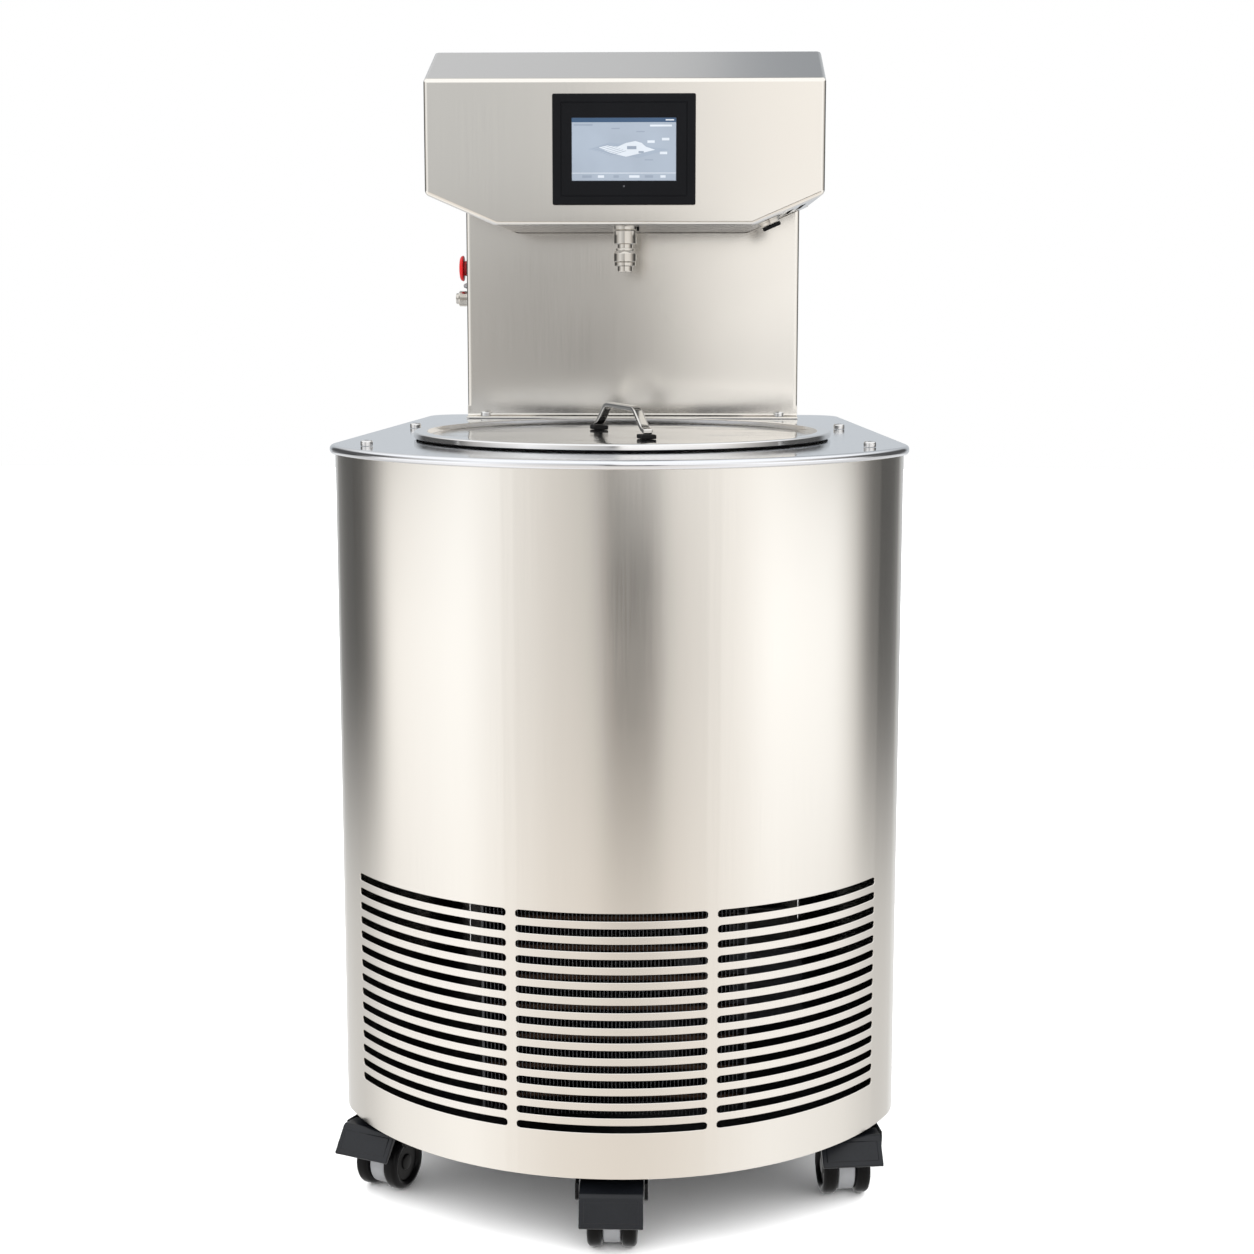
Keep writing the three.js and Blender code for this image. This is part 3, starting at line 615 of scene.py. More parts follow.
def half_plan(offset, step=2.0):
    """The right half of the outline, from the front round to the back."""
    radius = SKIN_RADIUS + offset
    last = ARC_END - ARC_SOFTENING
    count = round(last / step)
    points = [on_arc(radius, last * i / count) for i in range(count + 1)]
    knee = on_arc(radius, ARC_END)
    rear = Vector((REAR_HALF + offset, REAR_Y - REAR_CORNER, 0))
    before = points[-1]
    after = knee + (rear - knee).normalized() * (knee - before).length
    for i in range(1, 7):
        t = i / 6
        points.append(before * (1 - t) ** 2 + knee * 2 * t * (1 - t) + after * t ** 2)
    centre = Vector((REAR_HALF - REAR_CORNER, REAR_Y - REAR_CORNER, 0))
    for i in range(9):
        angle = math.radians(90 * i / 8)
        points.append(centre + (REAR_CORNER + offset) * Vector((math.cos(angle), math.sin(angle), 0)))
    return points


def whole_plan(offset, z=0.0, step=2.0):
    """The closed outline at a height."""
    right = half_plan(offset, step)
    left = [Vector((-p.x, p.y, 0)) for p in reversed(right[1:])]
    return [p + Vector((0, 0, z)) for p in right + left]


print("arc radius", round(SKIN_RADIUS, 4), "deck at", round(DECK_TOP, 4))

# %% [markdown]
# ## The cabinet's skin
# The real skin is one sheet, punched with three panels of long slots and then rolled to the plan. The
# slots could be cut with booleans from a finished shell. A grid that is already divided where the slots
# lie keeps clean faces instead, so its columns are wrapped onto the plan, its slot faces are deleted,
# and a thickness and a small deburred edge follow.

# %% Where the slots lie
SLOT_HIGH = 6.5 * MM
SLOT_PITCH = 13.2 * MM
SLOT_ROWS = 15
FIRST_SLOT = 111 * MM
PANELS = [(-57.3, -19.1), (-17.35, 17.35), (19.1, 57.3)]
END_STEPS = [0.3 * MM, 1.2 * MM, SLOT_HIGH / 2]


def as_degrees(length):
    return math.degrees(length / SKIN_RADIUS)


def skin_angles():
    """Arc angles of the grid's columns, close together where a slot's round end is."""
    marks = [-(ARC_END - ARC_SOFTENING), ARC_END - ARC_SOFTENING]
    for first, last in PANELS:
        marks += [first + as_degrees(s) for s in END_STEPS]
        marks += [last - as_degrees(s) for s in END_STEPS]
    marks.sort()
    angles = [marks[0]]
    for mark in marks[1:]:
        count = max(1, round((mark - angles[-1]) / 2.4))
        begin = angles[-1]
        angles += [begin + (mark - begin) * (i + 1) / count for i in range(count)]
    return angles


def slot_end_distance(degrees):
    """How far inside a slot a column lies, or None between the panels."""
    for first, last in PANELS:
        inside = min(degrees - first, last - degrees)
        if inside > 0:
            return math.radians(inside) * SKIN_RADIUS
    return None


angles = skin_angles()
beyond = half_plan(0)[len(half_plan(0)) - 15:]
right_path = [p for p in beyond if p.x > 186.5 * MM]
return_edge = Vector((186.3 * MM, REAR_Y, 0))
arc_path = [on_arc(SKIN_RADIUS, a) for a in angles]
skin_path = arc_path + right_path + [return_edge]
mirrored = [Vector((-p.x, p.y, 0)) for p in right_path + [return_edge]]
skin_path = list(reversed(mirrored)) + skin_path
first_arc_column = len(mirrored)
rows = [CABINET_BOTTOM]
for row in range(SLOT_ROWS):
    rows += [FIRST_SLOT + row * SLOT_PITCH, FIRST_SLOT + row * SLOT_PITCH + SLOT_HIGH]
rows.append(wrap_high.z)
print(len(skin_path), "columns", len(rows), "rows")

# %% Wrap the grid and open the slots
start()
bpy.ops.mesh.primitive_grid_add(
    x_subdivisions=len(skin_path) - 1, y_subdivisions=len(rows) - 1, size=1,
)
skin = bpy.context.object
column_of = {}
row_of = {}
for vertex in skin.data.vertices:
    column = round((vertex.co.x + 0.5) * (len(skin_path) - 1))
    row = round((vertex.co.y + 0.5) * (len(rows) - 1))
    column_of[vertex.index], row_of[vertex.index] = column, row
    z = rows[row]
    arc_column = column - first_arc_column
    if 0 <= arc_column < len(angles) and 0 < row < len(rows) - 1:
        inside = slot_end_distance(angles[arc_column])
        if inside is not None:
            radius = SLOT_HIGH / 2
            reach = max(0.0, radius - inside)
            rise = math.sqrt(max(0.0, radius ** 2 - reach ** 2))
            middle = FIRST_SLOT + (row - 1) // 2 * SLOT_PITCH + radius
            z = middle + (rise if row % 2 == 0 else -rise)
    vertex.co = (*skin_path[column][:2], z)


def is_slot(polygon):
    """Whether a grid face lies in a slot: an odd row, between a panel's two ends."""
    columns = [column_of[v] - first_arc_column for v in polygon.vertices]
    low_row = min(row_of[v] for v in polygon.vertices)
    if low_row % 2 == 0 or min(columns) < 0 or max(columns) >= len(angles):
        return False
    middle = sum(angles[c] for c in columns) / len(columns)
    return slot_end_distance(middle) is not None


select(skin, "FACE", is_slot)
bpy.ops.mesh.delete(type="FACE")
bpy.ops.object.mode_set(mode="OBJECT")
modified(skin, "SOLIDIFY", thickness=1.6 * MM, offset=-1)
bevelled(skin, 0.35 * MM, segments=1, angle=50)
painted(skin, steel_upright, angle=40)
finished(skin, "cabinet_skin", "cabinet", "brushed_steel", "cabinet_wrap")

# %% [markdown]
# ## Deck, vessel and base
# The deck is a thick-looking tray: its edge is rolled over and hangs outside the skin. A solid is raised
# from the plan, its edge is rounded with a bevel, and the space for the skin and the vessel's mouth are
# cut out. The vessel is drawn from sheet, so a spun profile with a rounded bottom corner suits it.

# %% Deck plate
RIM_OVERHANG = 5 * MM
SHEET = 2 * MM
rim_bottom = deck_low.z
deck = raised(whole_plan(RIM_OVERHANG, rim_bottom), (0, 0, DECK_TOP - rim_bottom))
bevelled(deck, 3.4 * MM, segments=5, angle=50)
under = raised(whole_plan(0.5 * MM, rim_bottom - 0.02), (0, 0, DECK_TOP - SHEET - rim_bottom + 0.02))
mouth_radius = (vessel_high.x - vessel_low.x) / 2 + 0.3 * MM
mouth = moved(spun([(0, 0), (mouth_radius, 0), (mouth_radius, 0.05), (0, 0.05)], 96),
              (0, AXIS.y, DECK_TOP - 0.025))
cut(deck, under, mouth)
painted(deck, mirror_deck, angle=40)
finished(deck, "deck_tray", "cabinet", "polished_steel", "deck_plate")

# %% Vessel
vessel_wall = 172 * MM
vessel_floor = vessel_low.z
corner = 14 * MM


def quarter(centre, radius, begin, end, steps=5):
    """Points of an arc in a profile, angles in degrees from the outward direction."""
    points = []
    for i in range(steps + 1):
        angle = math.radians(begin + (end - begin) * i / steps)
        points.append((centre[0] + radius * math.cos(angle), centre[1] + radius * math.sin(angle)))
    return points


outside = quarter((vessel_wall + SHEET - corner, vessel_floor + corner), corner, -90, 0)
inside = quarter((vessel_wall - corner, vessel_floor + SHEET + corner), corner, 0, -90)
flange_radius = (vessel_high.x - vessel_low.x) / 2
profile = [(0, vessel_floor)] + outside
profile += [(vessel_wall + SHEET, DECK_TOP - SHEET), (flange_radius, DECK_TOP - SHEET)]
profile += [(flange_radius, DECK_TOP), (vessel_wall + 1.5 * MM, DECK_TOP)]
profile += [(vessel_wall, DECK_TOP - 1.5 * MM)] + inside + [(0, vessel_floor + SHEET)]
vessel = moved(spun(profile, 96), (0, AXIS.y, 0))
painted(vessel, tank_steel)
finished(vessel, "vessel_tank", "cabinet", "brushed_steel", "vessel")

# %% Base tray
base_low, base_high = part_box("base_plate")
base = raised(whole_plan(-1.75 * MM, base_low.z), (0, 0, base_high.z - base_low.z))
bevelled(base, 0.8 * MM, segments=2, angle=50)
painted(base, zinc_plate)
finished(base, "base_tray", "cabinet", "base_steel", "base_plate")

# %% [markdown]
# ## Lid
# The lid is a pressed pan: a rolled rim round a shallow dish, on a black gasket. All of it is turned
# from profiles. The handle is one flat bar folded twice, so its side view is worked out as a path with
# rounded corners, thickened to a band, and extruded to the bar's width.

# %% Lid pan and gasket
lid_low, lid_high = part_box("lid_pan")
lid_radius = (lid_high.x - lid_low.x) / 2
dish_radius = 178.6 * MM
dish_top = lid_low.z + 1.7 * MM
rim_under = dish_top - 0.1 * MM
roll = 1.9 * MM
gasket_low, gasket_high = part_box("lid_gasket")
gasket_outer = (gasket_high.x - gasket_low.x) / 2
lip = min(gasket_outer + 0.4 * MM, lid_radius - 1.2 * MM)
print("rim lip", round((lid_radius - lip) * 1000, 2), "mm thick")
profile = [(0, lid_low.z), (dish_radius - 1 * MM, lid_low.z), (dish_radius, lid_low.z + 0.8 * MM)]
profile += [(dish_radius, rim_under), (lip, rim_under), (lip, rim_under - 1.2 * MM)]
profile += [(lid_radius - 0.5 * MM, rim_under - 1.2 * MM), (lid_radius, rim_under - 0.7 * MM)]
profile += quarter((lid_radius - roll, lid_high.z - roll), roll, 0, 90, 6)
profile += quarter((dish_radius + 2.4 * MM, lid_high.z - 1.4 * MM), 1.4 * MM, 90, 165, 4)
profile += [(dish_radius - 1.0 * MM, dish_top + 0.7 * MM), (dish_radius - 2.6 * MM, dish_top)]
profile += [(0, dish_top)]
lid = moved(spun(profile, 128), (0, AXIS.y, 0))
painted(lid, mirror_lid, angle=32)
finished(lid, "lid_dish", "lid", "polished_steel", "lid_pan")

gasket_inner = dish_radius + 0.9 * MM
bulge = (gasket_high.z - gasket_low.z) / 2
profile = quarter((gasket_outer - bulge, gasket_low.z + bulge), bulge, -90, 90, 6)
profile += [(gasket_inner, gasket_high.z), (gasket_inner, gasket_low.z)]
gasket = moved(spun(profile, 128, closed=True), (0, AXIS.y, 0))
painted(gasket, soft_rubber)
finished(gasket, "lid_seal", "lid", "rubber", "lid_gasket")

# %% Folded bar helpers
def rounded_path(points, radius, steps=5):
    """A path whose inner corners are replaced by short curves."""
    path = [Vector(points[0])]
    for before, at, after in zip(points, points[1:], points[2:]):
        before, at, after = Vector(before), Vector(at), Vector(after)
        begin = at + (before - at).normalized() * radius
        end = at + (after - at).normalized() * radius
        for i in range(steps + 1):
            t = i / steps
            path.append(begin * (1 - t) ** 2 + at * 2 * t * (1 - t) + end * t ** 2)
    return path + [Vector(points[-1])]


def band(path, thickness):
    """The closed outline of a strip of even thickness round a path in X and Z."""
    left, right = [], []
    for i, point in enumerate(path):
        ahead = path[min(i + 1, len(path) - 1)] - path[max(i - 1, 0)]
        side = Vector((-ahead.z, 0, ahead.x)).normalized() * thickness / 2
        left.append(point + side)
        right.append(point - side)
    return left + right[::-1]


# %% Lid handle and its pads
handle_low, handle_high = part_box("lid_handle")
pad_height = 4 * MM
handle_base = handle_low.z
handle_rise = handle_high.z - handle_low.z
handle_half = 77 * MM
bar = 6 * MM
HANDLE_TURN = math.radians(-70)
top_line = handle_rise - bar / 2
side_path = [
    (-handle_half + 1 * MM, 0, 2.4 * MM), (-handle_half + 9 * MM, 0, 3 * MM),
    (-handle_half + 35 * MM, 0, top_line), (handle_half - 35 * MM, 0, top_line),
    (handle_half - 9 * MM, 0, 3 * MM), (handle_half - 1 * MM, 0, 2.4 * MM),
]
path = rounded_path(side_path, 6 * MM, steps=4)
strip = [Vector((p.x, -4.4 * MM, p.z)) for p in band(path, bar * 0.8)]
handle = raised(strip, (0, 8.8 * MM, 0))
bevelled(handle, 1.5 * MM, segments=3, angle=50)
moved(handle, (0, AXIS.y, handle_base), (0, 0, HANDLE_TURN))
painted(handle, bright_nickel)
finished(handle, "lid_bail", "lid", "nickel", "lid_handle")

pad = cuboid((-8 * MM, -7 * MM, 0), (8 * MM, 7 * MM, pad_height))
bevelled(pad, 1.1 * MM, segments=3)
for number, side in ((1, -1), (2, 1)):
    foot = copied(pad)
    moved(foot, (side * (handle_half - 6 * MM), 0, 0))
    moved(foot, (0, AXIS.y, dish_top + 0.3 * MM), (0, 0, HANDLE_TURN))
    painted(foot, soft_rubber)
    finished(foot, f"handle_foot_{number}", "lid", "rubber", f"handle_pad_{number}")
bpy.data.objects.remove(pad)

# %% [markdown]
# ## Button-head screws
# The deck and the column's foot are held by M6 button-head screws. One is turned, its hexagon socket is
# cut, and the others are copies, each with its own mesh.

# %% Screws
def button_screw(radius=5.4 * MM, height=4.8 * MM, across=4 * MM, side=0.62):
    """A screw head standing on z = 0, upright up to a share of its height and domed above it."""
    dome = [(0, 0), (radius, 0), (radius, side * height)]
    for i in range(1, 6):
        angle = math.radians(16 * i)
        across_dome = radius * (0.72 + 0.28 * math.cos(angle))
        dome.append((across_dome, height * (side + (1 - side) * math.sin(angle))))
    dome.append((0, height))
    head = spun(dome, 32)
    corners = [(across / math.sqrt(3) * math.cos(math.radians(60 * i)),
                across / math.sqrt(3) * math.sin(math.radians(60 * i)), height - 1.7 * MM)
               for i in range(6)]
    socket = raised(corners, (0, 0, 4 * MM))
    return cut(head, socket)


TOWARDS_FRONT = (math.radians(90), 0, 0)
TOWARDS_BACK = (math.radians(-90), 0, 0)
SIDEWAYS = (0, math.radians(90), 0)
screw = button_screw()
for name in [n for n in frame["nodes"] if "_screw_" in n]:
    low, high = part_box(name)
    head = copied(screw)
    moved(head, ((low.x + high.x) / 2, (low.y + high.y) / 2, low.z), (0, 0, low.x * 9))
    painted(head, bright_screw)
    finished(head, name + "_head", "cabinet", "screw_steel", name)
bpy.data.objects.remove(screw)

# %% [markdown]
# ## Column
# The column is a folded channel with a foot flange turned forwards on the deck, and a flat cover closes
# its back. The channel's plan, with its bend radii, is raised to full height. The foot is a second strip
# whose side view is a right angle with a bend.

# %% The head's outline, which the column's top follows
head_low, head_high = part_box("head_shell")
HEAD_HALF = head_high.x
HEAD_FRONT = head_low.y
HEAD_BOTTOM = head_low.z
CORNER_WIDE = 67 * MM
CORNER_HIGH = 29 * MM


def head_front_view(inset, y):
    """The head seen from the front, shrunk by an inset, as points at one depth."""
    half = HEAD_HALF - inset
    flat = HEAD_HALF - CORNER_WIDE - inset * 0.2
    shoulder = HEAD_BOTTOM + CORNER_HIGH + inset * 0.6
    low, high = HEAD_BOTTOM + inset, head_high.z - inset
    view = [(-flat, low), (flat, low), (half, shoulder), (half, high), (-half, high), (-half, shoulder)]
    return [Vector((x, y, z)) for x, z in view]


def head_room(begin, end):
    """The head's space with a small gap round it, between two depths."""
    return raised(head_front_view(-0.4 * MM, begin), (0, end - begin, 0))


# %% Column shell
column_low, column_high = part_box("column_shell")
COLUMN_HALF = column_high.x
COLUMN_FRONT = 261 * MM
BEND = 3.5 * MM
wall_half = COLUMN_HALF - SHEET / 2
wall_front = COLUMN_FRONT + SHEET / 2
channel = rounded_path([
    (-wall_half, 0, column_high.y), (-wall_half, 0, wall_front), (wall_half, 0, wall_front),
    (wall_half, 0, column_high.y),
], BEND)
plan = [Vector((p.x, p.z, column_low.z)) for p in band(channel, SHEET)]
column = raised(plan, (0, 0, column_high.z - column_low.z))
cut(column, head_room(COLUMN_FRONT - 0.02, column_high.y + 0.02))
bevelled(column, 0.4 * MM, segments=1, angle=50)

foot_low = column_low.z + SHEET / 2
foot_path = rounded_path([
    (column_low.y + 0.2 * MM, 0, foot_low), (wall_front + 0.05 * MM, 0, foot_low),
    (wall_front + 0.05 * MM, 0, foot_low + 12 * MM),
], 4 * MM)
strip = [Vector((-COLUMN_HALF, p.x, p.z)) for p in band(foot_path, SHEET)]
foot = raised(strip, (2 * COLUMN_HALF, 0, 0))
bevelled(foot, 0.6 * MM, segments=2, angle=50)

button_low, button_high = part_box("estop_collar")
button_y = (button_low.y + button_high.y) / 2
button_z = (button_low.z + button_high.z) / 2
hole = [(0, -10), (8.9, -10), (8.9, 10), (0, 10)]
cut(column, lathed(hole, (-COLUMN_HALF, button_y, button_z), SIDEWAYS, 32))
column = joined(column, foot)
painted(column, steel_flat)
finished(column, "column_channel", "cabinet", "brushed_steel", "column_shell")

# %% Column rear cover with its screws
def edge_screws(name, places, seat):
    """Small screw heads copied to places on a back cover and joined into one piece."""
    pattern = button_screw(radius=3.6 * MM, height=1.7 * MM, across=2.4 * MM)
    heads = [moved(copied(pattern), (x, seat, z), TOWARDS_BACK) for x, z in places]
    bpy.data.objects.remove(pattern)
    heads = painted(joined(*heads), bright_screw)
    finished(heads, name, "cabinet", "screw_steel")


cover_low, cover_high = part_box("column_rear_cover")
cover = cuboid(cover_low, cover_high)
cut(cover, head_room(cover_low.y - 0.01, HEAD_FRONT + 0.316))
bevelled(cover, 0.7 * MM, segments=2, angle=20)
painted(cover, steel_upright)
finished(cover, "column_back_cover", "cabinet", "brushed_steel", "column_rear_cover")
places = [(side * 164 * MM, z) for side in (-1, 1)
          for z in (cover_low.z + 14 * MM, (cover_low.z + cover_high.z) / 2, cover_high.z - 14 * MM)]
edge_screws("column_cover_screws", places, cover_high.y)

# %% [markdown]
# ## Head
# The head is a box folded from one sheet. Its lower corners slant in, and its roof slopes up from the
# brow to a ridge. The front view is raised backwards, the brow is cut off by a sloping block, and one
# bevel rounds all the folds, which is where the bright lines come from. Then it is hollowed.

# %% Head shell
BROW_Z = 1010 * MM
RIDGE_Y = 101 * MM
FOLD = 4.2 * MM
VENT_FRONT = 70 * MM
VENT_BACK = 210 * MM
VENT_TOP = 909.5 * MM


def brow_block(inset):
    """The block above the sloping roof, from in front of the head to its ridge."""
    slope = (head_high.z - BROW_Z) / (RIDGE_Y - HEAD_FRONT)
    begin, end = HEAD_FRONT - 0.05, RIDGE_Y + 0.05
    side = [(begin, BROW_Z + slope * (begin - HEAD_FRONT) - inset),
            (end, BROW_Z + slope * (end - HEAD_FRONT) - inset), (end, 1.2), (begin, 1.2)]
    return raised([Vector((-0.25, y, z)) for y, z in side], (0.5, 0, 0))


head = raised(head_front_view(0, HEAD_FRONT), (0, head_high.y - HEAD_FRONT, 0))
cut(head, brow_block(0))
bevelled(head, FOLD, segments=5, angle=15)
hollow = raised(head_front_view(SHEET, HEAD_FRONT + SHEET), (0, 0.4, 0))
cut(hollow, brow_block(SHEET + 0.1 * MM))
case_low, case_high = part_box("hmi_case")
window = cuboid((case_low.x - 1 * MM, -0.02, case_low.z - 1 * MM),
                (case_high.x + 1 * MM, 0.02, case_high.z + 1 * MM))
spindle_low, spindle_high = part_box("spindle")
SPINDLE_Y = (spindle_low.y + spindle_high.y) / 2
bore = lathed([(0, -10), (11.6, -10), (11.6, 10), (0, 10)], (0, SPINDLE_Y, HEAD_BOTTOM), steps=32)
passage = cuboid((-0.15, 0.27, HEAD_BOTTOM - 0.01), (0.15, 0.31, HEAD_BOTTOM + 0.01))
cut(head, hollow, window, bore, passage)
for x in [side * (147 + i * 12) * MM for side in (-1, 1) for i in range(3)]:
    vent = cuboid((x - 3 * MM, VENT_FRONT, HEAD_BOTTOM - 0.01), (x + 3 * MM, VENT_BACK, VENT_TOP))
    cut(head, vent)
painted(head, steel_flat, angle=22)
head.data.materials.append(steel_roof)
for polygon in head.data.polygons:
    if abs(polygon.normal.z) > 0.8:
        polygon.material_index = 1
finished(head, "head_casing", "cabinet", "brushed_steel", "head_shell")

# %% Head rear cover
rear_low, rear_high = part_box("head_rear_cover")
rear = raised(head_front_view(0, rear_low.y), (0, rear_high.y - rear_low.y, 0))
bevelled(rear, 0.7 * MM, segments=2, angle=15)
painted(rear, steel_upright)
finished(rear, "head_back_cover", "cabinet", "brushed_steel", "head_rear_cover")
places = [(side * 176 * MM, z * MM) for side in (-1, 1) for z in (918, 975, 1032)]
places += [(x * MM, 1032 * MM) for x in (-60, 60)] + [(x * MM, 887 * MM) for x in (-105, 0, 105)]
edge_screws("head_cover_screws", places, rear_high.y)

# %% [markdown]
# ## Touch panel
# A standard panel has a moulded ABS bezel with softly rounded corners, a film set a little below it, and
# the display glass behind a window. The bezel is a block whose front is inset and pushed back. The
# picture on the display is made of small flat tiles that give off light: a bar, a pale slanted shape,
# small labels and a row of plain keys, with no words.

# %% Bezel
bezel_low, bezel_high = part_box("hmi_bezel")
glass_low, glass_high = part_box("hmi_screen")
bezel = bevelled(cuboid(bezel_low, bezel_high), 1.5 * MM, segments=4)
inset_faces(bezel, lambda face: face.normal.y < -0.99 and face.area > 1e-3,
            (6.2, 0), (0.4, -0.5), (0.5, 0), (0.3, 0.25))
opening = cuboid((glass_low.x - 0.3 * MM, -0.02, glass_low.z - 0.3 * MM),
                 (glass_high.x + 0.3 * MM, 0.02, glass_high.z + 0.3 * MM))
cut(bezel, opening)
painted(bezel, bezel_black)
finished(bezel, "panel_bezel", "cabinet", "black_plastic", "hmi_bezel")


# %% Display
def lit(name, colour, strength=0.55):
    """A display colour that gives off a little light under flat glass."""
    material, tree, shader = new_material(
        name, Roughness=0.12, Emission_Color=linear(colour), Emission_Strength=strength,
    )
    place = add_node(tree, "TexCoord").outputs["Object"]
    cloud = noise(tree, place, 30.0, 2.0)
    tone = two_tones(tree, cloud, 0.3, 0.7, (shaded(colour, 0.30), shaded(colour, 0.345)))
    feed(tree, shader, Base_Color=tone)
    return material


DISPLAY = {
    "ground": lit("lit display, pale blue-grey", "#9da8b6"),
    "bar": lit("lit display, deep blue", "#34506f"),
    "pale": lit("lit display, near white", "#ced5dd", 0.55),
    "soft": lit("lit display, soft grey", "#98a4b3"),
    "mid": lit("lit display, mid grey", "#8e99a8"),
}
GLASS_Y = glass_low.y
glass_wide = glass_high.x - glass_low.x
glass_tall = glass_high.z - glass_low.z


def tile(x0, z0, x1, z1, colour, layer=1):
    """A flat tile on the display, its corners given as fractions of the glass."""
    y = GLASS_Y - 0.06 * MM * layer
    low = (glass_low.x + x0 * glass_wide, y, glass_low.z + z0 * glass_tall)
    high = (glass_low.x + x1 * glass_wide, GLASS_Y + 0.01 * MM, glass_low.z + z1 * glass_tall)
    made = cuboid(low, high)
    made.data.materials.append(DISPLAY[colour])
    return made


def patch(points, colour, layer=1):
    """A many-cornered flat tile, from fractions of the glass."""
    y = GLASS_Y - 0.06 * MM * layer
    corners = [(glass_low.x + x * glass_wide, y, glass_low.z + z * glass_tall) for x, z in points]
    made = raised(corners, (0, 0.05 * MM, 0))
    made.data.materials.append(DISPLAY[colour])
    return made


glass = bevelled(cuboid(glass_low, glass_high), 0.2 * MM, segments=1)
glass.data.materials.append(DISPLAY["ground"])
tiles = [tile(0.0, 0.93, 1.0, 1.0, "bar", 2), tile(0.90, 0.955, 0.98, 0.975, "pale", 3)]
base = [(0.15, 0.50), (0.36, 0.61), (0.93, 0.50), (0.64, 0.36)]
tank = [(0.26, 0.53), (0.34, 0.56), (0.44, 0.54), (0.52, 0.60), (0.61, 0.63), (0.67, 0.60),
        (0.71, 0.54), (0.80, 0.49), (0.62, 0.42), (0.52, 0.38), (0.36, 0.45)]
tiles += [patch(base, "soft", 1), patch(tank, "pale", 2)]
for i in range(7):
    x, z = 0.19 + i * 0.028, 0.505 - i * 0.017
    tiles.append(patch([(x, z), (x + 0.16, z + 0.075), (x + 0.165, z + 0.07), (x + 0.006, z - 0.004)],
                       "mid", 3))
tiles += [tile(0.53, 0.50, 0.62, 0.55, "mid", 3), tile(0.64, 0.44, 0.69, 0.47, "mid", 3)]
for x, z in ((0.76, 0.62), (0.90, 0.66), (0.88, 0.44)):
    tiles.append(tile(x - 0.035, z - 0.02, x + 0.035, z + 0.02, "pale", 2))
for x, z in ((0.42, 0.83), (0.66, 0.78), (0.74, 0.33)):
    tiles.append(tile(x - 0.04, z - 0.008, x + 0.04, z + 0.008, "mid", 2))
tiles += [tile(0.02, 0.875, 0.20, 0.90, "mid", 2), tile(0.75, 0.86, 0.96, 0.89, "pale", 2)]
tiles.append(tile(0.0, 0.115, 1.0, 0.125, "pale", 2))
for i, width in enumerate((0.09, 0.06, 0.05, 0.10, 0.08, 0.05)):
    x = 0.10 + i * 0.15
    tiles.append(tile(x, 0.045, x + width, 0.085, "mid" if i % 2 == 0 else "pale", 2))
display = joined(glass, *tiles)
only(display)
bpy.ops.object.shade_flat()
finished(display, "panel_display", "cabinet", "display_glass", "hmi_screen")

# %% Status light and electronics case
light = lathed([(0, 0), (0.9, 0), (0.9, 0.25), (0.5, 0.5), (0, 0.55)],
               (0, bezel_low.y + 0.5 * MM, bezel_low.z + 17 * MM), TOWARDS_FRONT, 20)
painted(light, moulded("smoked status light", "#3a3b3e", 0.2, bump=0.01))
finished(light, "panel_status_light", "cabinet", "black_plastic")

casing = bevelled(cuboid(case_low, case_high), 2 * MM, segments=3)
inset_faces(casing, lambda face: face.normal.y > 0.99 and face.area > 1e-3, (8, 0), (1.5, 1.2))
painted(casing, case_grey)
finished(casing, "panel_case", "cabinet", "grey_plastic", "hmi_case")

# %% [markdown]
# ## Stirrer drive
# A motor in the head turns the spindle through a toothed belt. Under the head a fixed collar, a neck and
# a spring-loaded sleeve make the quick-release coupling. All of them are lathe work, so each is spun
# from a profile with small chamfers, which catch the thin bright lines.

# %% Spindle, sleeve and housing
def at_spindle(profile, steps=64, closed=False, y=SPINDLE_Y):
    return lathed(profile, (0, y, 0), steps=steps, closed=closed)


spindle = at_spindle([
    (0, 832), (5.6, 832), (6.6, 832.3), (7.2, 833.2), (7.2, 858.1), (9.8, 858.1), (10.8, 859),
    (10.8, 870), (10.2, 870.9), (9, 871.2), (7.2, 871.2), (7.2, 882), (4.9, 882), (4.9, 893),
    (4.4, 893.6), (0, 893.6),
])
painted(spindle, nickel)
finished(spindle, "stirrer_spindle", "spindle", "nickel", "spindle")

sleeve = at_spindle([
    (7.6, 837.7), (7.9, 837.5), (9.5, 837.5), (10.2, 838.1), (10.2, 841.0), (9.7, 841.5),
    (10.3, 841.7), (10.8, 842.3), (10.8, 849), (10.5, 850), (9.4, 852), (9.0, 852.4), (8.9, 853.4),
    (8.7, 854.3), (8.4, 854.7), (7.6, 854.7),
], closed=True)
painted(sleeve, nickel)
finished(sleeve, "coupling_lock_sleeve", "sleeve", "nickel", "coupling_sleeve")

housing = at_spindle([
    (7.7, 871.8), (10.2, 871.6), (11, 872.2), (11, 877.3), (20, 877.3), (20, 881.3), (19.5, 881.8),
    (7.7, 881.8),
], closed=True)
painted(housing, nickel)
finished(housing, "spindle_bearing_housing", "cabinet", "nickel", "spindle_housing")
tab = bevelled(cuboid((11.2 * MM, SPINDLE_Y - 2 * MM, 0.8705), (13.6 * MM, SPINDLE_Y + 2 * MM, 0.8748)),
               0.6 * MM)
painted(tab, black_nylon)
finished(tab, "spindle_guard_tab", "cabinet", "nickel")


# %% Pulleys, belt and motor
def toothed(radius, depth, teeth, low, high):
    """A toothed wheel's outline raised between two heights."""
    points = []
    for i in range(teeth * 4):
        angle = 2 * math.pi * i / (teeth * 4)
        at = radius if i % 4 in (0, 1) else radius - depth
        points.append(Vector((at * math.cos(angle), at * math.sin(angle), low)))
    return raised(points, (0, 0, high - low))


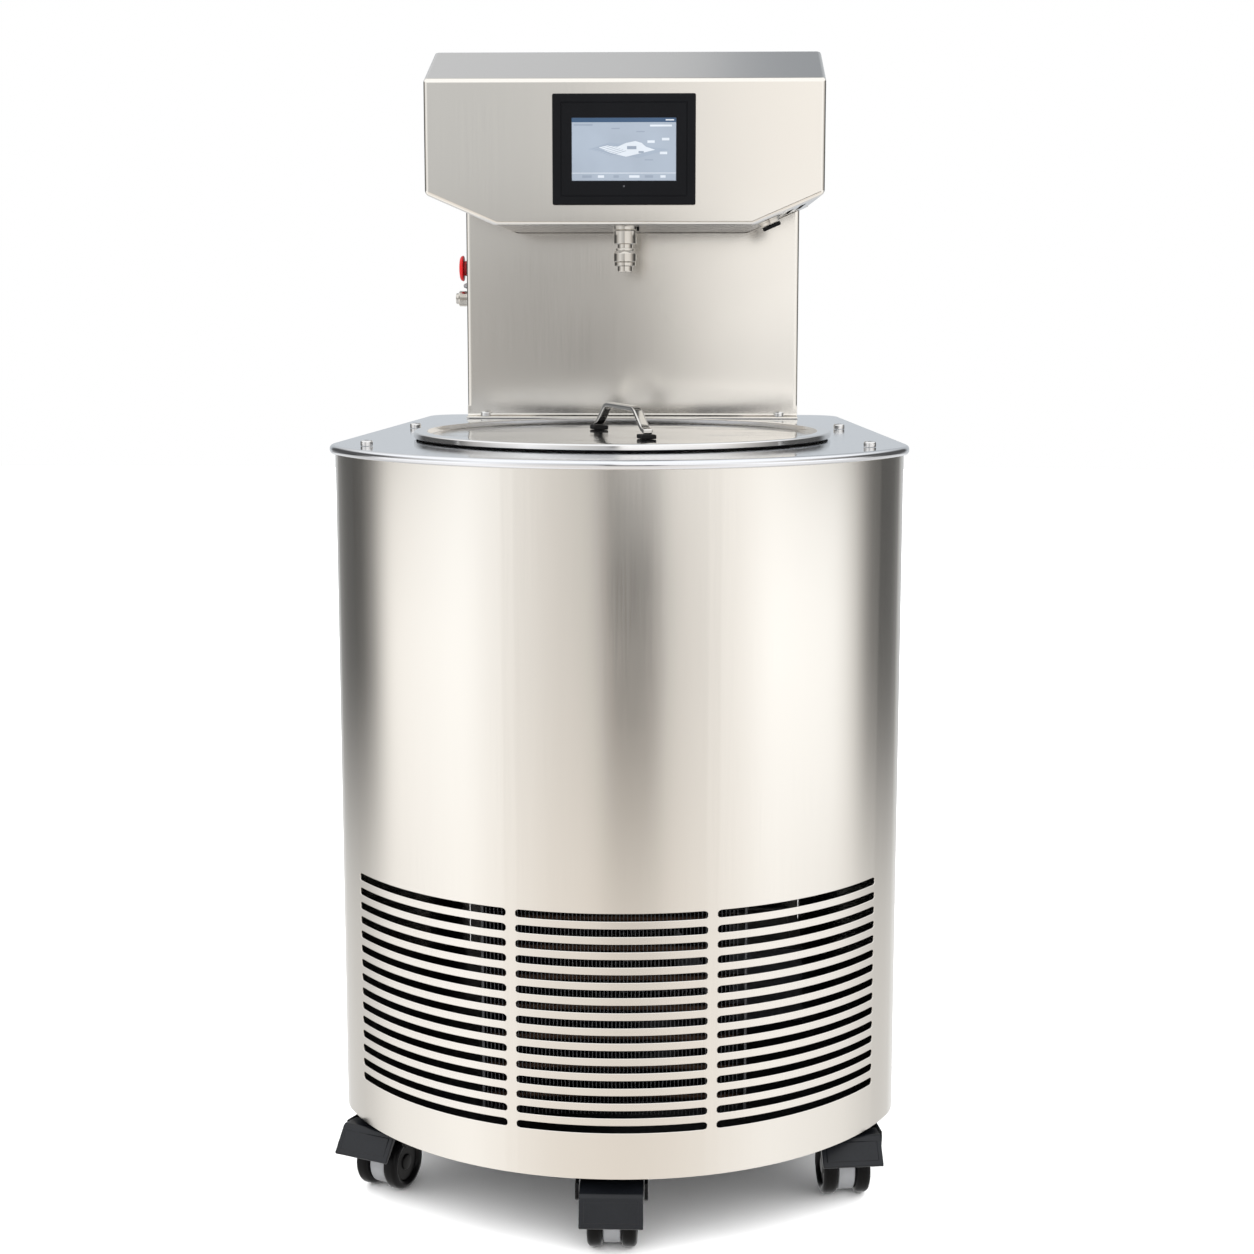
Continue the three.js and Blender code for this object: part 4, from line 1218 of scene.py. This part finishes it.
MOTOR_Y = sum(corner.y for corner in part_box("drive_motor")) / 2
for name, body, y, bore_radius in (
    ("motor_pulley", "motor_rotor", MOTOR_Y, 0), ("spindle_pulley", "spindle", SPINDLE_Y, 5.3),
):
    wheel = moved(toothed(16 * MM, 0.9 * MM, 30, 0.8837, 0.8903), (0, y, 0))
    flanges = [
        at_spindle([(bore_radius, low), (18.0, low), (18.2, low + 0.3), (18.2, low + 1.1),
                    (16.4, low + 1.5), (bore_radius, low + 1.5)], closed=bore_radius > 0, y=y)
        for low in (882.3, 890.2)
    ]
    if bore_radius:
        cutter = at_spindle([(0, 880), (bore_radius, 880), (bore_radius, 895), (0, 895)], y=y)
        cut(wheel, cutter)
    else:
        flanges.append(at_spindle([(0, 881.3), (4, 881.3), (4, 893.7), (0, 893.7)], y=y))
    wheel = joined(wheel, *flanges)
    painted(wheel, nickel)
    finished(wheel, name + "_wheel", body, "nickel", name)


def belt_loop(radius):
    """A loop round both pulleys, seen from above."""
    front = [(180 + 7.5 * i, SPINDLE_Y) for i in range(25)]
    back = [(7.5 * i, MOTOR_Y) for i in range(25)]
    return [Vector((radius * math.cos(math.radians(a)), y + radius * math.sin(math.radians(a)), 0.8842))
            for a, y in front + back]


belt = raised(belt_loop(17.9 * MM), (0, 0, 5.6 * MM))
cut(belt, moved(raised(belt_loop(16.5 * MM), (0, 0, 0.02)), (0, 0, -0.005)))
painted(belt, soft_rubber)
finished(belt, "toothed_drive_belt", "cabinet", "rubber", "drive_belt")

motor_points = [(0, 894), (24, 894), (24, 897), (30.5, 897.4), (32, 899)]
for i in range(9):
    z = 905 + i * 7
    motor_points += [(32, z), (30.6, z + 1), (30.6, z + 3), (32, z + 4)]
motor = at_spindle(motor_points + [(32, 971), (30, 974), (26, 978), (0, 978)], y=MOTOR_Y)
painted(motor, stove_black)
finished(motor, "stirrer_motor", "cabinet", "motor_black", "drive_motor")

# %% [markdown]
# ## Stop button and sockets
# The red mushroom button stands in a black collar on the column's left side, with the probe socket
# under it. The service socket sits square on the head's slanted corner. All are turned parts, spun
# about Z and then laid on their sides.

# %% Stop button and probe socket
TO_LEFT = (0, math.radians(-90), 0)


def on_left_side(profile, z, steps=48, closed=False):
    return lathed(profile, (-COLUMN_HALF, button_y, z), TO_LEFT, steps, closed)


mushroom = on_left_side([
    (0, -12), (8, -12), (8, 4.9), (12.4, 5.0), (13.3, 5.4), (13.6, 6.2), (13.4, 7.2), (12.7, 8.4),
    (11, 9.3), (8, 9.8), (4, 9.95), (0, 10),
], button_z)
painted(mushroom, signal_red)
finished(mushroom, "stop_mushroom", "stop_button", "red_plastic", "estop_button")

collar = on_left_side([
    (8.6, 0.3), (12, 0.3), (12, 1.2), (11.3, 1.9), (8.6, 1.9),
], button_z, closed=True)
painted(collar, black_nylon)
finished(collar, "stop_collar_ring", "cabinet", "black_plastic", "estop_collar")

probe_low, probe_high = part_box("probe_socket")
PROBE_Z = (probe_low.z + probe_high.z) / 2
barrel_points = [(0, 0.3), (8.0, 0.3), (8.4, 0.8), (8.4, 2.6), (7.9, 2.9), (7.9, 3.4), (8.4, 3.7)]
for rise in [i * 1.3 for i in range(4)]:
    barrel_points += [(8.4, 4.4 + rise), (8.05, 4.7 + rise), (8.05, 5.1 + rise), (8.4, 5.4 + rise)]
barrel_points += [(8.4, 9.6), (7.2, 11), (5.8, 11.1), (5.8, 13.4), (5.3, 14), (4.2, 14), (4.0, 12), (0, 12)]
socket = on_left_side(barrel_points, PROBE_Z)
painted(socket, nickel)
finished(socket, "probe_connector", "cabinet", "nickel", "probe_socket")

gland = on_left_side([(0, 0.1), (3.8, 0.1), (3.8, 1.2), (3.2, 2.4), (1.8, 5.6), (1.2, 6.0), (0, 6.1)],
                     819.6 * MM, steps=32)
painted(gland, grey_nylon)
finished(gland, "sensor_gland", "cabinet", "grey_plastic")

# %% Service socket and cap
service_low, service_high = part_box("service_socket")
lean = math.atan2(CORNER_HIGH, CORNER_WIDE)
SERVICE_X = 137 * MM
seat = HEAD_BOTTOM + (SERVICE_X - (HEAD_HALF - CORNER_WIDE)) * math.tan(lean)
service_y = (service_low.y + service_high.y) / 2


def on_corner(profile, closed=False):
    return lathed(profile, (SERVICE_X, service_y, seat), (0, math.pi - lean, 0), closed=closed)


shell = on_corner([(7, 0.3), (10, 0.3), (10, 1.6), (9.2, 1.9), (9.2, 4.6), (8.8, 5), (7, 5)], True)
painted(shell, nickel)
finished(shell, "service_socket_ring", "cabinet", "nickel", "service_socket")
knurl = [Vector(((9.2 if i % 2 else 8.7) * MM * math.cos(math.radians(6 * i)),
                 (9.2 if i % 2 else 8.7) * MM * math.sin(math.radians(6 * i)), 5.3 * MM))
         for i in range(60)]
cap = bevelled(raised(knurl, (0, 0, 3.7 * MM)), 0.4 * MM, segments=1, angle=60)
moved(cap, (SERVICE_X, service_y, seat), (0, math.pi - lean, 0))
painted(cap, black_nylon)
finished(cap, "service_socket_cap", "cabinet", "black_plastic", "service_cap")

# %% [markdown]
# ## Casters
# A twin-wheel caster has two rounded treads on one axle, a grey core between them, a black hood with
# two ears over them, and a brake pedal in front. One set is modelled facing forwards at the origin, and
# then it is copied to each caster and turned to the heading that its roll axis gives.

# %% Parts of one caster, facing -Y
AXLE = Vector((0, -16 * MM, 25 * MM))


def wheel_pair():
    """Two rounded wheels with hub discs on one axle along X."""
    side = [(0, 19.6), (6, 19.8), (7, 19.2), (7.4, 18.2), (16.5, 18.2), (17.2, 19.6), (18.4, 20.9),
            (20.2, 21.5)]
    side += quarter((20.6, 17.1), 4.4, 90, 0, 5)
    side += [(25, 13.2), (24.8, 11.4), (24.2, 9.6), (22.8, 8.5), (21, 8.3), (4, 8.3)]
    points = side + [(radius, -z) for radius, z in reversed(side)]
    return lathed(points, AXLE, SIDEWAYS, 40)


def grey_core(top):
    """The web between the wheels, with its hub and the bore of the axle."""
    core = cuboid((-7.6 * MM, -22 * MM, 30 * MM), (7.6 * MM, 18 * MM, top))
    hub = [(0, -7.6), (20.6, -7.6), (21.4, -6.8), (21.4, 6.8), (20.6, 7.6), (0, 7.6)]
    hub = lathed(hub, AXLE, SIDEWAYS, 40)
    modified(core, "BOOLEAN", operation="UNION", solver="EXACT", object=hub)
    bpy.data.objects.remove(hub)
    cut(core, lathed([(0, -20), (4.5, -20), (4.5, 20), (0, 20)], AXLE, SIDEWAYS, 24))
    return bevelled(core, 0.5 * MM, segments=1, angle=50)


def hood(top):
    """The turntable over the wheels."""
    return lathed([(0, 60.4), (20, 60.4), (21.6, 61), (22, 62.2), (22, top - 1.2), (21, top), (0, top)])


def ears():
    """Two side ears that carry the brake pedal, under a cross bridge."""
    bridge = cuboid((-28.4 * MM, -22.5 * MM, 60.8 * MM), (28.4 * MM, 8 * MM, 64.2 * MM))
    bevelled(bridge, 0.8 * MM)
    side = [(-38, 64.2), (-39.5, 58), (-38, 50), (-34, 47), (-30, 48), (-27, 53), (-15, 55), (8, 60),
            (8, 64.2)]
    plates = [bevelled(raised(side_view(side, x), (3.2 * MM, 0, 0)), 0.7 * MM, segments=2, angle=25)
              for x in (-31.2, 28)]
    return joined(bridge, *plates)


PEDAL_HINGE = Vector((0, -27 * MM, 60 * MM))


def pedal(pressed):
    """A framed plate on an arm, sloping down to its lip, turned about the hinge by an angle."""
    arm = [(-24.6, 57.2), (-24.6, 61.8), (-29, 64.3), (-46.5, 65.3), (-49, 64.2), (-46, 58.6),
           (-30, 57.6)]
    arm = bevelled(raised(side_view(arm, -27.3), (54.6 * MM, 0, 0)), 0.7 * MM, segments=2, angle=25)
    plate = [(-46.3, 65.4), (-49.2, 64), (-64, 43.2), (-63.4, 41.6), (-61.6, 40.8), (-46.4, 59.6)]
    face = bevelled(raised(side_view(plate, -27.4), (54.8 * MM, 0, 0)), 0.8 * MM, segments=3, angle=25)
    inset_faces(face, lambda f: f.normal.y < -0.6 and f.normal.z > 0.3 and f.area > 6e-4,
                (3.0, 0), (0.7, 0.6))
    made = joined(arm, face)
    edit(made)
    bpy.ops.transform.rotate(value=-pressed, orient_axis="X", center_override=PEDAL_HINGE)
    bpy.ops.object.mode_set(mode="OBJECT")
    return made


# %% Copy them to every caster
def base_mount(size=56 * MM, low=66.7 * MM, high=69.7 * MM):
    """The square top plate with rounded corners and four bolts."""
    half = size / 2
    plate = bevelled(cuboid((-half, -half, low), (half, half, high)), 0.8 * MM)
    bolts = []
    for x in (-1, 1):
        for y in (-1, 1):
            bolt = button_screw(radius=4.2 * MM, height=2.2 * MM, across=3 * MM)
            place = (x * (half - 6 * MM), y * (half - 6 * MM), low)
            bolts.append(moved(bolt, place, (math.pi, 0, 0)))
    return joined(plate, *bolts)


PEDAL_TRAVEL = math.radians(20)
masters = {"wheels": wheel_pair(), "core": grey_core(61 * MM), "ears": ears(),
           "pedal": pedal(0), "pressed_pedal": pedal(PEDAL_TRAVEL),
           "hood": hood(66.4), "tall_hood": hood(69.7), "plate": base_mount()}
finishes = {"wheels": wheel_black, "core": grey_nylon, "pedal": pedal_black,
            "pressed_pedal": pedal_black, "ears": black_nylon,
            "hood": black_nylon, "tall_hood": black_nylon, "plate": zinc_plate}
joints = {joint["name"]: joint for joint in frame["joints"]}


def at_caster(kind, place, heading):
    part = moved(copied(masters[kind]), place, (0, 0, heading))
    return painted(part, finishes[kind])


for caster in [name[:-len("_roll")] for name in joints if name.endswith("_roll")]:
    swivel = joints[caster + "_swivel"]
    roll = joints[caster + "_roll"]
    place = (swivel["pos_m"][0], swivel["pos_m"][1], 0)
    heading = math.atan2(roll["axis"][1], roll["axis"][0])
    braked = caster + "_pedal" in frame["nodes"]
    swivel_body = caster + "_swivel_body"
    wheels = at_caster("wheels", place, heading)
    finished(wheels, caster + "_twin_wheels", caster + "_wheel_body", "wheel_black", caster + "_wheels")
    core = at_caster("core", place, heading)
    finished(core, caster + "_core", swivel_body, "grey_plastic", caster + "_swivel")
    if braked:
        top = joined(at_caster("hood", place, heading), at_caster("ears", place, heading))
        finished(top, caster + "_hood", swivel_body, "black_plastic")
        pressed = joints[caster + "_brake"]["range_deg"][0] < 0
        lever = at_caster("pressed_pedal" if pressed else "pedal", place, heading)
        finished(lever, caster + "_brake_pedal", caster + "_pedal_body", "black_plastic",
                 caster + "_pedal")
        mount = at_caster("plate", place, heading)
        finished(mount, caster + "_top_plate", "cabinet", "base_steel", caster + "_plate")
    else:
        top = at_caster("tall_hood", place, heading)
        finished(top, caster + "_hood", swivel_body, "black_plastic")
for master in masters.values():
    bpy.data.objects.remove(master)
print("casters placed")

# %% [markdown]
# ## Rear panel and mains inlet
# The rear panel lifts out. It has a shallow stiffening step, air slots with rounded ends and a row of
# screws. Its slots are cut by rounded bars. The inlet is a moulded socket with three flat pins, and it
# is the only trace of the mains lead, which is left out.

# %% Rear panel
panel_low, panel_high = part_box("rear_panel")
panel = bevelled(cuboid(panel_low, panel_high), 0.6 * MM)
bars = []
for i in range(6):
    z = (200 + i * 20) * MM
    bar_block = cuboid((-70 * MM, REAR_Y - 0.01, z), (70 * MM, REAR_Y + 0.01, z + 8 * MM))
    corners = [vertex.co.y for vertex in bar_block.data.vertices]
    select(bar_block, "EDGE",
           lambda edge: abs(corners[edge.vertices[0]] - corners[edge.vertices[1]]) > 0.01)
    bpy.ops.mesh.bevel(offset=3.9 * MM, segments=5)
    bpy.ops.object.mode_set(mode="OBJECT")
    bars.append(bar_block)
inlet_low, inlet_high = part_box("mains_inlet")
inlet_hole = cuboid((-146 * MM, REAR_Y - 0.01, 102 * MM), (-104 * MM, REAR_Y + 0.01, 128 * MM))
cut(panel, inlet_hole, *bars)
painted(panel, steel_upright)
finished(panel, "rear_lift_out_panel", "cabinet", "brushed_steel", "rear_panel")
places = [(side * 176 * MM, panel_low.z + (panel_high.z - panel_low.z) * (0.03 + 0.235 * i))
          for side in (-1, 1) for i in range(5)]
edge_screws("rear_panel_screws", places, panel_high.y)

# %% Mains inlet
flange = bevelled(cuboid((inlet_low.x, REAR_Y + 0.3 * MM, inlet_low.z), inlet_high), 0.8 * MM)
body = cuboid((-145 * MM, inlet_low.y, 103 * MM), (-105 * MM, REAR_Y + 1 * MM, 127 * MM))
modified(flange, "BOOLEAN", operation="UNION", solver="EXACT", object=body)
bpy.data.objects.remove(body)
recess = cuboid((-137 * MM, REAR_Y - 15 * MM, 107 * MM), (-113 * MM, REAR_Y + 0.02, 123 * MM))
cut(flange, bevelled(recess, 2 * MM, segments=3))
pins = []
for x, z in ((-132, 113), (-125, 117), (-118, 113)):
    pins.append(bevelled(cuboid(((x - 1) * MM, REAR_Y - 15.2 * MM, (z - 2) * MM),
                                ((x + 1) * MM, REAR_Y - 4 * MM, (z + 2) * MM)), 0.4 * MM))
painted(flange, black_nylon)
finished(flange, "mains_inlet_socket", "cabinet", "black_plastic", "mains_inlet")
pins = painted(joined(*pins), bright_nickel)
finished(pins, "mains_inlet_pins", "cabinet", "nickel")

# %% [markdown]
# ## Inside the cabinet
# The condenser, its fan and the other units are seen in stripes through the slots. The condenser is a
# stack of thin fins on dusty copper hairpin tubes, made with an array of one fin. The fan blades are a
# strip that is twisted and copied round the hub.

# %% Condenser
condenser_low, condenser_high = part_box("condenser")
FIN_PITCH = 3.4 * MM
fin_count = int((condenser_high.x - condenser_low.x - 8 * MM) / FIN_PITCH)
fin = cuboid((condenser_low.x + 4 * MM, condenser_low.y, condenser_low.z + 2 * MM),
             (condenser_low.x + 4.6 * MM, condenser_high.y, condenser_high.z - 2 * MM))
modified(fin, "ARRAY", count=fin_count, use_relative_offset=False, use_constant_offset=True,
         constant_offset_displace=(FIN_PITCH, 0, 0))
ends = [cuboid((x, condenser_low.y - 1 * MM, condenser_low.z),
               (x + 2 * MM, condenser_high.y, condenser_high.z))
        for x in (condenser_low.x, condenser_high.x - 2 * MM)]
fins = joined(fin, *ends)
painted(fins, fin_grey)
finished(fins, "condenser_fins", "cabinet", "condenser_fins", "condenser")
pipes = []
for i in range(7):
    z = condenser_low.z + (16 + i * 27) * MM
    place = (condenser_low.x + 2 * MM, condenser_low.y + 9 * MM, z)
    pipes.append(lathed([(0, 0), (4, 0), (4, 226), (0, 226)], place, SIDEWAYS, 16))
pipes = painted(joined(*pipes), dull_metal("dusty copper tube", "#5d4a3e", 0.45, 1.0))
finished(pipes, "condenser_tubes", "cabinet", "condenser_fins")

# %% Fan and shroud
shroud_low, shroud_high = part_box("fan_shroud")
FAN_Y = (shroud_low.y + shroud_high.y) / 2
FAN_Z = (shroud_low.z + shroud_high.z) / 2
shroud = bevelled(cuboid(shroud_low, shroud_high), 4 * MM, segments=3)
throat = [(0, -40), (84, -40), (82, 0), (84, 40), (0, 40)]
cut(shroud, lathed(throat, (0, FAN_Y, FAN_Z), TOWARDS_FRONT, 64))
painted(shroud, black_nylon)
finished(shroud, "fan_cowl", "cabinet", "black_plastic", "fan_shroud")

rotor = lathed([(0, -12), (22, -12), (24, -10), (24, 10), (20, 12), (0, 12)], steps=40)
blades = []
for i in range(5):
    start()
    bpy.ops.mesh.primitive_grid_add(x_subdivisions=6, y_subdivisions=3, size=1)
    blade = bpy.context.object
    for vertex in blade.data.vertices:
        out = vertex.co.x + 0.5
        across = vertex.co.y * (24 + 16 * out) * MM
        pitch = math.radians(40 - 18 * out)
        cup = 3 * MM * (1 - 4 * vertex.co.y ** 2)
        vertex.co = ((22 + 56 * out) * MM, across * math.cos(pitch), across * math.sin(pitch) + cup)
    modified(blade, "SOLIDIFY", thickness=1.6 * MM, offset=0)
    blades.append(moved(blade, (0, 0, -1 * MM), (0, 0, math.radians(72 * i))))
rotor = moved(joined(rotor, *blades), (0, FAN_Y, FAN_Z), TOWARDS_FRONT)
painted(rotor, grey_nylon)
finished(rotor, "fan_impeller", "fan", "grey_plastic", "fan_rotor")

# %% Compressor, power supply, heater and insulation
compressor_low, compressor_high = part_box("compressor")
points = [(0, 78), (54, 78), (60, 80), (64, 88), (67, 100), (68, 146), (70, 148), (70, 154), (68, 156),
          (66, 180), (58, 202), (44, 216), (22, 224), (0, 226)]
middle = (compressor_low + compressor_high) / 2
can = lathed(points, (middle.x, middle.y, 0))
painted(can, stove_black)
finished(can, "compressor_can", "cabinet", "motor_black", "compressor")

supply_low, supply_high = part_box("power_supply")
supply = bevelled(cuboid(supply_low, supply_high), 1.2 * MM)
inset_faces(supply, lambda face: face.normal.z > 0.99 and face.area > 1e-3, (10, 0), (1, -1))
painted(supply, fin_grey)
finished(supply, "power_supply_box", "cabinet", "insulation_foil", "power_supply")

for node, name, inner, material, slot in (
    ("heater_band", "heater_band_clamp", 174.5 * MM, zinc_plate, "base_steel"),
    ("insulation", "vessel_jacket", 178.8 * MM, foil_silver, "insulation_foil"),
):
    low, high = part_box(node)
    outer = (high.x - low.x) / 2
    ring = spun([(inner, low.z), (outer - 1 * MM, low.z), (outer, low.z + 1 * MM),
                 (outer, high.z - 1 * MM), (outer - 1 * MM, high.z), (inner, high.z)], 96, closed=True)
    moved(ring, (0, AXIS.y, 0))
    painted(ring, material)
    finished(ring, name, "cabinet", slot, node)
